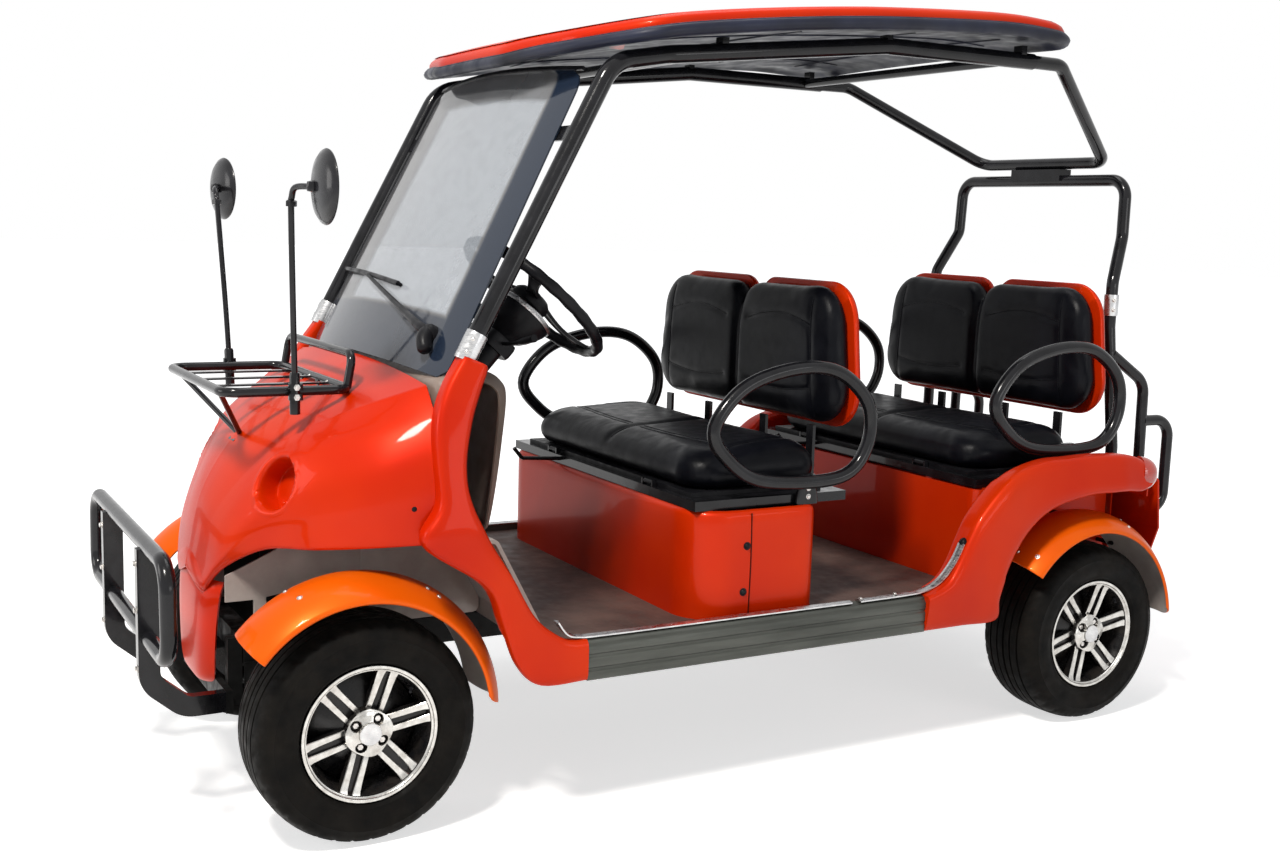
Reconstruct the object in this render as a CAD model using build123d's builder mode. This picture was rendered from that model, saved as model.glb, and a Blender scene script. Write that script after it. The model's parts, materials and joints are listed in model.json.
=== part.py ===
from build123d import *
import os
from math import atan2, cos, degrees, radians, sin, sqrt

# Four-seat golf cart.  Millimetres, +X to the rear, +Y to the cart's right, +Z up.
# The origin is on the ground, on the centre plane, midway along the cart.

os.makedirs("parts", exist_ok=True)

# ---------------------------------------------------------------- driving dimensions
SIDES = (("left", -1), ("right", 1))

BENCH_PITCH = 810                    # from the front bench to the rear one
FRONT_AXLE_X, REAR_AXLE_X = -980, BENCH_PITCH + 110
WHEEL_R = 229.5                      # outside radius of the tyre
TYRE_W = 182                         # section width
TREAD_W = 150
FRONT_TYRE_Y, REAR_TYRE_Y = 402, 472
BEAD_R, FLANGE_R, BARREL_R = 127, 140, 113
RIM_W = 152
RUN = 0.05                           # radial play of a shaft in its bore

FRAME_FRONT_X, FRAME_REAR_X = FRONT_AXLE_X - 170, REAR_AXLE_X + 280
RAIL_Y, RAIL_W, RAIL_H = 150, 50, 60
RAIL_Z = WHEEL_R + 70.5              # underside of the rails
BULL_ARM_Y = 195                     # the two uprights of the bull bar
FLOOR_Z, FLOOR_T = RAIL_Z + 75, 15   # top and thickness of the floor
FLOOR_FRONT_X, FLOOR_REAR_X = FRONT_AXLE_X + 363, BENCH_PITCH - 265

SILL_FRONT_X, SILL_REAR_X = FLOOR_FRONT_X + 72, REAR_AXLE_X - 570
SILL_Y, SILL_W = 530, 32             # inner face and width
SILL_Z, SILL_H = RAIL_Z + 4, 88

SKIN = 5                             # moulded body skin

POST_Y = 475                         # windshield posts
POST_R = 19
POST_FOOT = (-790, 964)              # x, z
POST_TOP = (-478, 1560)
RAIL_TOP_Y = 430                     # roof rails
HOOP_R = 16

BOX_TOP_Z = 618
SEAT_HALF_W = 425

WHEEL_CENTRE = Vector(-538, -250, 1072)
column_axis = Vector(sin(radians(42)), 0, cos(radians(42)))
COLUMN_R = 26                        # outside of the column tube
SHAFT_R = 10

KINGPIN_Y = 296
KNUCKLE_Z = WHEEL_R + 0.5            # middle of the kingpins
KINGPIN_R = 8
STEER_ARM = 110


# ---------------------------------------------------------------- shared shapes
def tube(points, bend, radius, closed=False):
    """A round tube along straight runs joined by tangent bends."""
    with BuildPart() as made:
        with BuildLine() as path:
            if len(points) == 2:
                Line(*points)
            else:
                FilletPolyline(*points, radius=bend, close=closed)
        with BuildSketch(Plane(path.line @ 0, z_dir=path.line % 0)):
            Circle(radius)
        sweep(path=path.line)
    return made.part


def bar(points, bend, width, low_y, high_y):
    """A flat bar bent in the side view, from low_y to high_y across the cart."""
    with BuildPart() as made:
        with BuildSketch(Plane.XZ.offset(-high_y)):
            with BuildLine():
                FilletPolyline(*points, radius=bend)
            trace(line_width=width)
        extrude(amount=high_y - low_y)
    return made.part


def block(low, high):
    """A box between two corners."""
    size = [b - a for a, b in zip(low, high)]
    middle = [(a + b) / 2 for a, b in zip(low, high)]
    return Pos(*middle) * Box(*size, mode=Mode.PRIVATE)


def rod(start, end, radius):
    """A straight round bar between two points."""
    line = Vector(*end) - Vector(*start)
    plane = Plane(start, z_dir=line)
    stand = (Align.CENTER, Align.CENTER, Align.MIN)
    return plane * Cylinder(radius, line.length, align=stand, mode=Mode.PRIVATE)


def save(part, name):
    part.label = name
    export_step(part, f"parts/{name}.step")


# ---------------------------------------------------------------- chassis
# Leaf springs: axle x, height of the middle leaf, height of the eyes, thickness
SPRINGS = ((FRONT_AXLE_X, WHEEL_R - 21.5, RAIL_Z - 28, 15), (REAR_AXLE_X, WHEEL_R + 38, RAIL_Z - 28, 15))
SPRING_HALF = 155
EYE_PIN_R = 6
with BuildPart() as chassis_frame:
    for _, side in SIDES:
        with BuildSketch(Plane.YZ.offset(FRAME_FRONT_X)):
            with Locations((side * RAIL_Y, RAIL_Z + RAIL_H / 2)):
                Rectangle(RAIL_W, RAIL_H)
                Rectangle(RAIL_W - 8, RAIL_H - 8, mode=Mode.SUBTRACT)
        extrude(amount=FRAME_REAR_X - FRAME_FRONT_X)
    inner = RAIL_Y - RAIL_W / 2
    outer = RAIL_Y + RAIL_W / 2
    for x in (FRAME_FRONT_X, FLOOR_FRONT_X - 83, -250, SILL_REAR_X - 50, REAR_AXLE_X - 220,
              FRAME_REAR_X - 40):
        add(block((x, -inner, RAIL_Z + 5), (x + 40, inner, RAIL_Z + RAIL_H - 5)))
    for _, side in SIDES:
        for x in (SILL_FRONT_X + 5, -60, SILL_REAR_X - 50):
            low, high = sorted((side * outer, side * SILL_Y))
            add(block((x, low, RAIL_Z + 15), (x + 40, high, RAIL_Z + RAIL_H)))
        low, high = sorted((side * outer, side * 405))
        add(block((FRAME_REAR_X - 60, low, RAIL_Z + 15), (FRAME_REAR_X, high, RAIL_Z + RAIL_H)))
        low, high = sorted((side * (RAIL_Y - 12), side * (RAIL_Y + 12)))
        add(block((FRAME_FRONT_X - 30, low, 215), (FRAME_FRONT_X, high, RAIL_Z + RAIL_H)))
        for axle_x, _, eye_z, _ in SPRINGS:
            for end in (-1, 1):
                eye_x = axle_x + end * SPRING_HALF
                for cheek in (-1, 1):
                    low, high = sorted((side * RAIL_Y + cheek * 22.3, side * RAIL_Y + cheek * 28))
                    add(block((eye_x - 14, low, eye_z - 16), (eye_x + 14, high, RAIL_Z + 10)))
                add(rod((eye_x, side * RAIL_Y - 26, eye_z), (eye_x, side * RAIL_Y + 26, eye_z), EYE_PIN_R))
    add(block((FRAME_FRONT_X - 45, -BULL_ARM_Y - 12, 215), (FRAME_FRONT_X - 30, BULL_ARM_Y + 12, 262)))
save(chassis_frame.part, "chassis_frame")

with BuildPart() as floor_pan:
    with BuildSketch(Plane.XY.offset(FLOOR_Z - FLOOR_T)):
        with Locations(((FLOOR_FRONT_X + FLOOR_REAR_X) / 2, 0)):
            Rectangle(FLOOR_REAR_X - FLOOR_FRONT_X, 2 * SILL_Y)
    extrude(amount=FLOOR_T)
save(floor_pan.part, "floor_pan")

with BuildPart() as sills:
    with BuildSketch(Plane.YZ.offset(SILL_FRONT_X)):
        for _, side in SIDES:
            with Locations((side * (SILL_Y + SILL_W / 2), SILL_Z + SILL_H / 2)):
                Rectangle(SILL_W, SILL_H)
                Rectangle(SILL_W - 6, SILL_H - 6, mode=Mode.SUBTRACT)
            for z in (22, 44, 66):
                with Locations((side * (SILL_Y + SILL_W), SILL_Z + z)):
                    Rectangle(3, 4, mode=Mode.SUBTRACT)
    extrude(amount=SILL_REAR_X - SILL_FRONT_X)
save(sills.part, "sills")

# ---------------------------------------------------------------- front body
slant = Vector(POST_TOP[0] - POST_FOOT[0], 0, POST_TOP[1] - POST_FOOT[1]).normalized()
CLAMP_T = 3                          # wall of the clamps round the posts


def post_foot(side):
    """The lower end of a windshield post."""
    return Vector(POST_FOOT[0], side * POST_Y, POST_FOOT[1])


# Cowl stations: x, crown z, crease half width, crease z, belly half width, belly z,
# lower edge half width, lower edge z.
COWL = (
    (-845, 928, 420, 905, 512, 760, 512, 612),
    (-960, 868, 330, 852, 470, 720, 462, 602),
    (-1060, 812, 235, 790, 385, 690, 385, 590),
    (-1130, 745, 170, 715, 285, 640, 280, 575),
    (-1190, 640, 110, 610, 190, 560, 180, 520),
    (-1216, 520, 80, 500, 120, 480, 110, 455),
)


def cowl_section(row, wall=0.0):
    """One station of the cowl, or of its inside when a wall is given."""
    x, crown, crease_y, crease_z, belly_y, belly_z, edge_y, edge_z = row
    half = [
        (crease_y - wall, crease_z - wall),
        (belly_y - wall, belly_z - wall / 2),
        (edge_y - wall, edge_z - (30 if wall else 0)),
    ]
    points = [(0, crown - wall)] + half + [(-y, z) for y, z in reversed(half)]
    return Plane.YZ.offset(x + (wall if x == COWL[-1][0] else 0)) * Polygon(*points, align=None)


def cowl_solid(wall=0.0):
    """The loft through the stations; the inside runs out through the back."""
    rows = list(COWL)
    if wall:
        rows[0] = (rows[0][0] + 2,) + rows[0][1:]
    return loft([cowl_section(row, wall) for row in rows], ruled=True)


outer_cowl = cowl_solid()
inner_cowl = cowl_solid(SKIN)

LAMP_R, LAMP_DEPTH = 58, 44
lamp_places = [Plane((-1098, side * 276, 700), z_dir=(-0.86, side * 0.40, 0.34)) for _, side in SIDES]
lamp_cups = [place * Cylinder(LAMP_R + SKIN, 2 * LAMP_DEPTH + 2 * SKIN) & outer_cowl
             for place in lamp_places]
with BuildPart() as cowl:
    add(outer_cowl)
    add(inner_cowl, mode=Mode.SUBTRACT)
    for place, cup in zip(lamp_places, lamp_cups):
        add(cup)
        add(place * Cylinder(LAMP_R, 2 * LAMP_DEPTH, mode=Mode.PRIVATE), mode=Mode.SUBTRACT)
save(cowl.part, "cowl")

SKIRT_X = FRAME_FRONT_X - 72
with BuildPart() as nose_skirt:
    with BuildSketch(Plane.YZ.offset(SKIRT_X)):
        with BuildLine():
            Polyline((-150, 452), (150, 452), (112, 262), (70, 240), (-70, 240), (-112, 262), close=True)
        make_face()
    extrude(amount=26)
    add(block((SKIRT_X, -104, RAIL_Z + 5), (FRAME_FRONT_X, -98, 440)))
    add(block((SKIRT_X, 98, RAIL_Z + 5), (FRAME_FRONT_X, 104, 440)))
save(nose_skirt.part, "nose_skirt")

with BuildPart() as pillars:
    with BuildSketch(Plane.XZ.offset(-600)):
        with BuildLine():
            Polyline(
                (-806, 965), (-846, 912), (-868, 850), (-868, 770), (-860, 690), (-905, 612),
                (-838, 606), (-770, 520), (-735, 440), (-700, 345), (-650, 300), (-545.3, 304),
                (-545.3, 392), (-600, 400), (-660, 450), (-715, 540), (-765, 620), (-800, 700),
                (-806, 770), (-790, 850), (-768, 905), (-748, 945), close=True)
        make_face()
    extrude(amount=1200)
    with BuildSketch(Plane.YZ.offset(-1000)):
        for _, side in SIDES:
            with BuildLine():
                Polyline(
                    (side * 530.3, 290), (side * 566, 290), (side * 566, 640), (side * 500, 970),
                    (side * 450, 970), (side * 514, 640), (side * 514, 420), (side * 530.3, 400), close=True)
            make_face()
    extrude(amount=600, mode=Mode.INTERSECT)
    add(outer_cowl, mode=Mode.SUBTRACT)
    for _, side in SIDES:
        add(Plane(post_foot(side), z_dir=slant) * Cylinder(POST_R + CLAMP_T, 100, mode=Mode.PRIVATE),
            mode=Mode.SUBTRACT)
save(pillars.part, "pillars")

with BuildPart() as inner_panels:
    for _, side in SIDES:
        low, high = sorted((side * 182, side * 187))
        with BuildSketch(Plane.XZ.offset(-high)):
            with BuildLine():
                Polyline((-1190, 445), (-1190, 500), (-1000, 585), (-880, 585), (-880, 480), (-1130, 445),
                         close=True)
            make_face()
        extrude(amount=high - low)
        low, high = sorted((side * (RAIL_Y + RAIL_W / 2 + 0.3), side * 187))
        for x in (-1130, -905):
            add(block((x, low, RAIL_Z + 20), (x + 24, high, 490)))
    add(bar([(FLOOR_FRONT_X - 4.3, FLOOR_Z - FLOOR_T), (FLOOR_FRONT_X - 4.3, 400),
             (-730, 602), (-836, 605.7)],
            15, 8, -508, 508))
save(inner_panels.part, "inner_panels")

with BuildPart() as dash:
    with BuildSketch(Plane.XZ.offset(-449)):
        with BuildLine():
            FilletPolyline((-840, 610), (-840, 920), (-750, 940), (-672, 912), (-714, 610),
                           radius=18, close=True)
        make_face()
    extrude(amount=898)
    with BuildSketch(Plane.XZ.offset(-443)):
        with BuildLine():
            Polyline((-846, 617), (-846, 913), (-750, 932), (-681, 908), (-721, 617), close=True)
        make_face()
    extrude(amount=886, mode=Mode.SUBTRACT)
    column_hole = Plane(WHEEL_CENTRE, z_dir=column_axis) * Pos(0, 0, -200)
    add(column_hole * Cylinder(COLUMN_R + 0.3, 400, mode=Mode.PRIVATE),
        mode=Mode.SUBTRACT)
save(dash.part, "dash")

# ---------------------------------------------------------------- bull bar, rack and mirrors
BULL_X = FRAME_FRONT_X - 195
with BuildPart() as bull_bar:
    add(tube([(BULL_X, -390, 582), (BULL_X, 390, 582), (BULL_X, 402, 392), (BULL_X, -402, 392)],
             55, 16, True))
    for _, side in SIDES:
        add(bar([(BULL_X, 575), (BULL_X, 300), (BULL_X + 70, 240), (FRAME_FRONT_X - 45, 240)], 50, 42,
                side * BULL_ARM_Y - 12, side * BULL_ARM_Y + 12))
save(bull_bar.part, "bull_bar")

RACK_Z = 885
RACK_FRONT_X, RACK_REAR_X, RACK_Y = -1204, -948, 250
RACK_FOOT = Vector(-1112, 0, 765)    # where the brace stands on the hood
with BuildPart() as luggage_rack:
    add(tube([(RACK_FRONT_X, -RACK_Y, RACK_Z), (RACK_FRONT_X, RACK_Y, RACK_Z),
              (RACK_REAR_X, RACK_Y, RACK_Z), (RACK_REAR_X, -RACK_Y, RACK_Z)], 35, 10, True))
    add(tube([(RACK_REAR_X, -RACK_Y + 20, RACK_Z), (RACK_REAR_X + 12, -RACK_Y + 20, RACK_Z + 70),
              (RACK_REAR_X + 12, RACK_Y - 20, RACK_Z + 70), (RACK_REAR_X, RACK_Y - 20, RACK_Z)], 25, 9))
    for y in (-125, 0, 125):
        add(block((RACK_FRONT_X, y - 9, RACK_Z - 2), (RACK_REAR_X, y + 9, RACK_Z + 2)))
    for _, side in SIDES:
        add(rod((RACK_FRONT_X + 4, side * 190, RACK_Z), (RACK_FOOT.X, side * 8, RACK_FOOT.Z), 6))
        add(block((RACK_REAR_X - 12, side * 60 - 10, 870), (RACK_REAR_X + 2, side * 60 + 10, RACK_Z)))
    add(Plane(RACK_FOOT, z_dir=(-67, 0, 70)) * Box(44, 44, 8, mode=Mode.PRIVATE))
    add(outer_cowl, mode=Mode.SUBTRACT)
save(luggage_rack.part, "luggage_rack")

MIRROR_R = 72
with BuildPart() as mirrors:
    for _, side in SIDES:
        add(tube([(-1066, side * (RACK_Y + 16), RACK_Z - 14), (-1083, side * 300, 1262),
                  (-1083, side * 330, 1290), (-1052, side * 395, 1290)], 15, 6))
        add(rod((-1056, side * 397, 1290), (-1040, side * 400, 1290), MIRROR_R))
        low, high = sorted((side * (RACK_Y + 10), side * (RACK_Y + 26)))
        for z in (RACK_Z - 16, RACK_Z + 4):
            add(block((-1078, low, z), (-1054, high, z + 12)))
save(mirrors.part, "mirrors")

# ---------------------------------------------------------------- windshield and wiper
ahead = Vector(-slant.Z, 0, slant.X)
GLASS_FOOT = Vector(-826, 0, 932) - slant * 45 - ahead * 16
GLASS_H, GLASS_HALF, GLASS_BULGE = 748, 438, 40
GLASS_TOP_HALF = 392


def on_glass(y, up, out):
    """A point ahead of the curved sheet's front face."""
    bulge = GLASS_BULGE * (1 - (y / GLASS_HALF) ** 2)
    return GLASS_FOOT + slant * up + Vector(0, y, 0) + ahead * (bulge + out)


def glass_half(up):
    """Half the sheet's width, which tapers to its top."""
    return GLASS_HALF + (GLASS_TOP_HALF - GLASS_HALF) * up / GLASS_H


with BuildPart() as windshield:
    with BuildSketch(Plane(GLASS_FOOT, x_dir=(0, 1, 0), z_dir=slant)):
        with BuildLine():
            ThreePointArc((-GLASS_HALF, 0), (0, GLASS_BULGE), (GLASS_HALF, 0))
            Line((GLASS_HALF, 0), (GLASS_HALF, -5))
            ThreePointArc((GLASS_HALF, -5), (0, GLASS_BULGE - 5), (-GLASS_HALF, -5))
            Line((-GLASS_HALF, -5), (-GLASS_HALF, 0))
        make_face()
    extrude(amount=GLASS_H)
    with BuildSketch(Plane(GLASS_FOOT, x_dir=(0, 1, 0), z_dir=ahead)):
        with BuildLine():
            Polyline((-GLASS_HALF, 0), (-GLASS_TOP_HALF, -GLASS_H), (GLASS_TOP_HALF, -GLASS_H),
                     (GLASS_HALF, 0), close=True)
        make_face()
    extrude(amount=80, both=True, mode=Mode.INTERSECT)
    add(outer_cowl, mode=Mode.SUBTRACT)
    with BuildSketch(Plane.XZ.offset(-500)):
        with BuildLine():
            Polyline((-900, 400), (-845.3, 500), (-845.3, 921.4), (-840, 921.4), (-750, 940.5),
                     (-650, 400), close=True)
        make_face()
    extrude(amount=1000, mode=Mode.SUBTRACT)
save(windshield.part, "windshield")

WIPER_Y, WIPER_UP = -318, 120
arm_end = tuple(on_glass(134, 217, 12))
with BuildPart() as wiper:
    add(rod(tuple(on_glass(WIPER_Y, WIPER_UP, 0.5)), tuple(on_glass(WIPER_Y - 4, WIPER_UP, 28)), 17))
    add(rod(tuple(on_glass(WIPER_Y, WIPER_UP, 24)), arm_end, 6))
    add(rod(tuple(on_glass(-74, 208, 12)), arm_end, 6))
    add(rod(arm_end, tuple(on_glass(415, 239, 12)), 6))
save(wiper.part, "wiper")

# ---------------------------------------------------------------- roof frame and roof
TRAP_X, TRAP_Y, TRAP_Z = BENCH_PITCH + 368, 235, 1440
ROOF_RAIL_REAR_X, RAIL_TOP_Z = TRAP_X - 478, 1655
ROOF_SIDE = ((-640, 1586), (-530, 1622), (-335, 1664), (36, 1708), (457, 1738), (642, 1737), (800, 1716))


def roof_low(x):
    """The height of the roof's underside, over x."""
    for (x0, z0), (x1, z1) in zip(ROOF_SIDE, ROOF_SIDE[1:]):
        if x0 <= x <= x1:
            return z0 + (z1 - z0) * (x - x0) / (x1 - x0) - 44.5
    return None


with BuildPart() as roof_frame:
    for _, side in SIDES:
        add(tube([(POST_FOOT[0], side * POST_Y, POST_FOOT[1]), (POST_TOP[0], side * POST_Y, POST_TOP[1]),
                  (-330, side * 440, 1588), (250, side * RAIL_TOP_Y, RAIL_TOP_Z),
                  (ROOF_RAIL_REAR_X, side * RAIL_TOP_Y, RAIL_TOP_Z)], 90, POST_R))
    add(tube([(ROOF_RAIL_REAR_X - 5, -RAIL_TOP_Y, RAIL_TOP_Z),
              (ROOF_RAIL_REAR_X + 100, -RAIL_TOP_Y + 5, RAIL_TOP_Z),
              (TRAP_X, -TRAP_Y, TRAP_Z), (TRAP_X, TRAP_Y, TRAP_Z),
              (ROOF_RAIL_REAR_X + 100, RAIL_TOP_Y - 5, RAIL_TOP_Z),
              (ROOF_RAIL_REAR_X - 5, RAIL_TOP_Y, RAIL_TOP_Z)],
             60, HOOP_R))
    for x, z in ((-240, 1598), (640, RAIL_TOP_Z)):
        add(rod((x, -RAIL_TOP_Y - 5, z), (x, RAIL_TOP_Y + 5, z), 12))
    for _, side in SIDES:
        for x, z in ((-190, 1604), (250, RAIL_TOP_Z), (660, RAIL_TOP_Z)):
            low, high = sorted((side * (RAIL_TOP_Y - 14), side * (RAIL_TOP_Y + 14)))
            add(block((x - 8, low, z), (x + 8, high, min(roof_low(x - 8), roof_low(x + 8)))))
        for up in (195, 600):
            glass_edge = glass_half(up)
            low, high = sorted((side * (glass_edge - 14), side * (POST_Y - 8)))
            back = GLASS_BULGE * (1 - (glass_edge / GLASS_HALF) ** 2) - 5.4
            tab = Plane(GLASS_FOOT + slant * up, x_dir=(0, 1, 0), z_dir=slant)
            add(tab * Pos((low + high) / 2, back - 2, 0) * Box(high - low, 4, 34, mode=Mode.PRIVATE))
save(roof_frame.part, "roof_frame")

HOOP_Z = 1392
HOOP_FOOT = (TRAP_X - 60, 352, 1060)
with BuildPart() as rear_hoop:
    foot_x, foot_y, foot_z = HOOP_FOOT
    add(tube([(foot_x, -foot_y, foot_z), (foot_x, -foot_y, foot_z + 60), (TRAP_X - 4, -322, 1240),
              (TRAP_X, -318, HOOP_Z), (TRAP_X, 318, HOOP_Z), (TRAP_X - 4, 322, 1240),
              (foot_x, foot_y, foot_z + 60), (foot_x, foot_y, foot_z)], 50, HOOP_R))
    add(block((TRAP_X - 22, -95, HOOP_Z), (TRAP_X + 22, 95, TRAP_Z - HOOP_R)))
save(rear_hoop.part, "rear_hoop")

ROOF_SHELL_T, ROOF_TRIM_T = 24, 20


def roof_band(drop, thick):
    """A band that follows the roof's side view, drop below its crown."""
    with BuildPart() as made:
        with BuildSketch(Plane.XZ.offset(-600)):
            with BuildLine():
                top = [(x, z - drop) for x, z in ROOF_SIDE]
                low = [(x, z - drop - thick) for x, z in reversed(ROOF_SIDE)]
                Polyline(*top, *low, close=True)
            make_face()
        extrude(amount=1200)
    return made.part


with BuildPart() as roof_shell:
    with BuildSketch(Plane.XY.offset(1400)):
        with BuildLine():
            FilletPolyline((-590, -180), (-590, 180), (-532, 400), (-420, 545), (100, 572), (735, 540),
                           (735, -540), (100, -572), (-420, -545), (-532, -400), radius=80, close=True)
        make_face()
    extrude(amount=400)
    add(roof_band(0, ROOF_SHELL_T), mode=Mode.INTERSECT)
save(roof_shell.part, "roof_shell")

with BuildPart() as roof_trim:
    with BuildSketch(Plane.XY.offset(1400)):
        with BuildLine():
            FilletPolyline((-598, -183), (-598, 183), (-539, 405), (-424, 553), (100, 580), (744, 548),
                           (744, -548), (100, -580), (-424, -553), (-539, -405), radius=84, close=True)
        make_face()
    extrude(amount=400)
    add(roof_band(ROOF_SHELL_T + 0.3, ROOF_TRIM_T), mode=Mode.INTERSECT)
save(roof_trim.part, "roof_trim")

# ---------------------------------------------------------------- seat boxes and body
BOX_FRONT, BOX_REAR, BOX_Y = -255, 70, 500
with BuildPart() as front_seat_box:
    with BuildSketch(Plane.XY.offset(FLOOR_Z)):
        with BuildLine():
            FilletPolyline((BOX_REAR, -BOX_Y), (BOX_FRONT, -BOX_Y), (BOX_FRONT, BOX_Y), (BOX_REAR, BOX_Y),
                           radius=[25, 100, 100, 25], close=True)
        make_face()
        offset(amount=-SKIN, mode=Mode.SUBTRACT)
    extrude(amount=BOX_TOP_Z - FLOOR_Z)
save(front_seat_box.part, "front_seat_box")

with BuildPart() as battery_pack:
    add(block((-195, -330, FLOOR_Z), (15, 330, 560)))
save(battery_pack.part, "battery_pack")

REAR_BOX_FRONT, TAIL_X = FLOOR_REAR_X + SKIN, FRAME_REAR_X - 35
WELL_Y = 365
with BuildPart() as rear_body:
    with BuildSketch(Plane.XY.offset(RAIL_Z + RAIL_H)):
        with BuildLine():
            FilletPolyline((TAIL_X, -500), (REAR_BOX_FRONT, -500), (REAR_BOX_FRONT, 500), (TAIL_X, 500),
                           radius=[60, 40, 40, 60], close=True)
        make_face()
        offset(amount=-SKIN, mode=Mode.SUBTRACT)
    extrude(amount=BOX_TOP_Z - RAIL_Z - RAIL_H)
    for _, side in SIDES:
        low, high = sorted((side * WELL_Y, side * 620))
        add(block((REAR_BOX_FRONT + 60, low, 300), (TAIL_X + 10, high, 612)), mode=Mode.SUBTRACT)
        low, high = sorted((side * WELL_Y, side * (WELL_Y + SKIN)))
        add(block((REAR_BOX_FRONT + 40, low, 360), (TAIL_X - 30, high, 612)))
        low, high = sorted((side * WELL_Y, side * 497))
        add(block((REAR_BOX_FRONT + 40, low, 612), (TAIL_X - 40, high, BOX_TOP_Z)))
        add(block((REAR_BOX_FRONT + 40, low, 360), (REAR_BOX_FRONT + 60, high, BOX_TOP_Z)))
    add(block((BENCH_PITCH + 165, -490, BOX_TOP_Z - 6), (TAIL_X - 3, 490, BOX_TOP_Z)))
save(rear_body.part, "rear_body")

with BuildPart() as rear_quarters:
    with BuildSketch(Plane.XZ.offset(-700)):
        with BuildLine():
            Polyline(*[(REAR_AXLE_X + x, z) for x, z in (
                (-569.7, 304), (-569.7, 392), (-510, 420), (-480, 460), (-420, 575), (-330, 655),
                (-220, 692), (-20, 698), (100, 690), (155, 665), (175, 625), (155, 588), (80, 598),
                (-60, 596), (-180, 572), (-260, 520), (-315, 440), (-340, 345), (-342, 304))],
                     close=True)
        make_face()
    extrude(amount=1400)
    with BuildSketch(Plane.YZ.offset(SILL_REAR_X - 50)):
        for _, side in SIDES:
            with BuildLine():
                Polyline((side * 530.3, 300), (side * 566, 300), (side * 582, 420), (side * 582, 640),
                         (side * 560, 705), (side * 510, 705), (side * 510, 652), (side * 500.3, 640),
                         (side * 500.3, 420), (side * 530.3, 400), close=True)
            make_face()
    extrude(amount=900, mode=Mode.INTERSECT)
save(rear_quarters.part, "rear_quarters")

with BuildPart() as tail_panel:
    with BuildSketch(Plane.XZ.offset(-480)):
        with BuildLine():
            Polyline((TAIL_X + 0.3, 640), (TAIL_X + 45, 600), (TAIL_X + 60, 470), (TAIL_X + 30, 400),
                     (TAIL_X + 24, 400), (TAIL_X + 54, 470), (TAIL_X + 39, 598), (TAIL_X + 5, 629),
                     (TAIL_X + 5, 560), (TAIL_X + 0.3, 560), close=True)
        make_face()
    extrude(amount=960)
save(tail_panel.part, "tail_panel")

with BuildPart() as tail_lamps:
    for _, side in SIDES:
        add(rod((TAIL_X - 65, side * 540, 630), (TAIL_X - 35, side * 530, 628), 30))
    add(rear_quarters.part, mode=Mode.SUBTRACT)
save(tail_lamps.part, "tail_lamps")

DECK_Z = BOX_TOP_Z
GRAB_X = TAIL_X + 81                  # front leg of the grab loops
with BuildPart() as rear_posts:
    for _, side in SIDES:
        add(tube([(foot_x, side * foot_y, foot_z), (foot_x, side * foot_y, foot_z - 60),
                  (foot_x + 18, side * 375, DECK_Z + 60), (foot_x + 18, side * 375, DECK_Z)], 50, HOOP_R))
        add(tube([(foot_x + 6, side * 360, 930), (GRAB_X, side * 370, 850), (GRAB_X, side * 376, 480)],
                 60, HOOP_R - 1))
        add(tube([(GRAB_X, side * 374, 745), (GRAB_X + 104, side * 376, 745),
                  (GRAB_X + 104, side * 376, 495),
                  (GRAB_X, side * 376, 495)], 50, HOOP_R - 1))
save(rear_posts.part, "rear_posts")

with BuildPart() as post_clamps:
    for _, side in SIDES:
        wrap = Plane(post_foot(side), z_dir=slant) * Pos(0, 0, 28)
        add(wrap * Cylinder(POST_R + CLAMP_T, 60, mode=Mode.PRIVATE))
        add(wrap * Cylinder(POST_R, 60, mode=Mode.PRIVATE), mode=Mode.SUBTRACT)
        wrap = Pos(HOOP_FOOT[0], side * HOOP_FOOT[1], HOOP_FOOT[2])
        add(wrap * Cylinder(HOOP_R + CLAMP_T, 56, mode=Mode.PRIVATE))
        add(wrap * Cylinder(HOOP_R, 56, mode=Mode.PRIVATE), mode=Mode.SUBTRACT)
save(post_clamps.part, "post_clamps")

# ---------------------------------------------------------------- seats
BENCHES = (("front", 0), ("rear", BENCH_PITCH))
FRAME_TOP_Z = BOX_TOP_Z + 22
BASE_T = 10                          # boards under the cushions
CUSHION_Z = FRAME_TOP_Z + BASE_T + 0.6
PIN_R = 3
HINGE_X, HINGE_Z, HINGE_Y = -233, FRAME_TOP_Z + 8, 250
BACK_LOW, BACK_TOP = 775, 1108
BACK_STRAPS = (-330, -130, 130, 330)  # y of the straps that carry the backrests
STRAP_X, STRAP_T = 160, 8
ARMREST_Y = 490
for bench, shift in BENCHES:
    with BuildPart() as cushion:
        with BuildSketch(Plane.XZ.offset(-SEAT_HALF_W)):
            with BuildLine():
                FilletPolyline((shift - 225, CUSHION_Z), (shift - 225, 715), (shift + 135, 735),
                               (shift + 135, CUSHION_Z), radius=22, close=True)
            make_face()
        extrude(amount=2 * SEAT_HALF_W)
    save(cushion.part, f"{bench}_cushion")
    with BuildPart() as seat_base:
        add(block((shift - 222, -SEAT_HALF_W + 4, FRAME_TOP_Z + 0.3),
                  (shift + 132, SEAT_HALF_W - 4, FRAME_TOP_Z + BASE_T)))
        for _, side in SIDES:
            low, high = side * HINGE_Y - 18, side * HINGE_Y + 18
            add(rod((shift + HINGE_X, low, HINGE_Z), (shift + HINGE_X, high, HINGE_Z), 6))
            add(block((shift + HINGE_X, low, HINGE_Z - 4), (shift - 210, high, FRAME_TOP_Z + BASE_T)))
            add(rod((shift + HINGE_X, low, HINGE_Z), (shift + HINGE_X, high, HINGE_Z), PIN_R + RUN),
                mode=Mode.SUBTRACT)
    save(seat_base.part, f"{bench}_seat_base")

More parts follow.
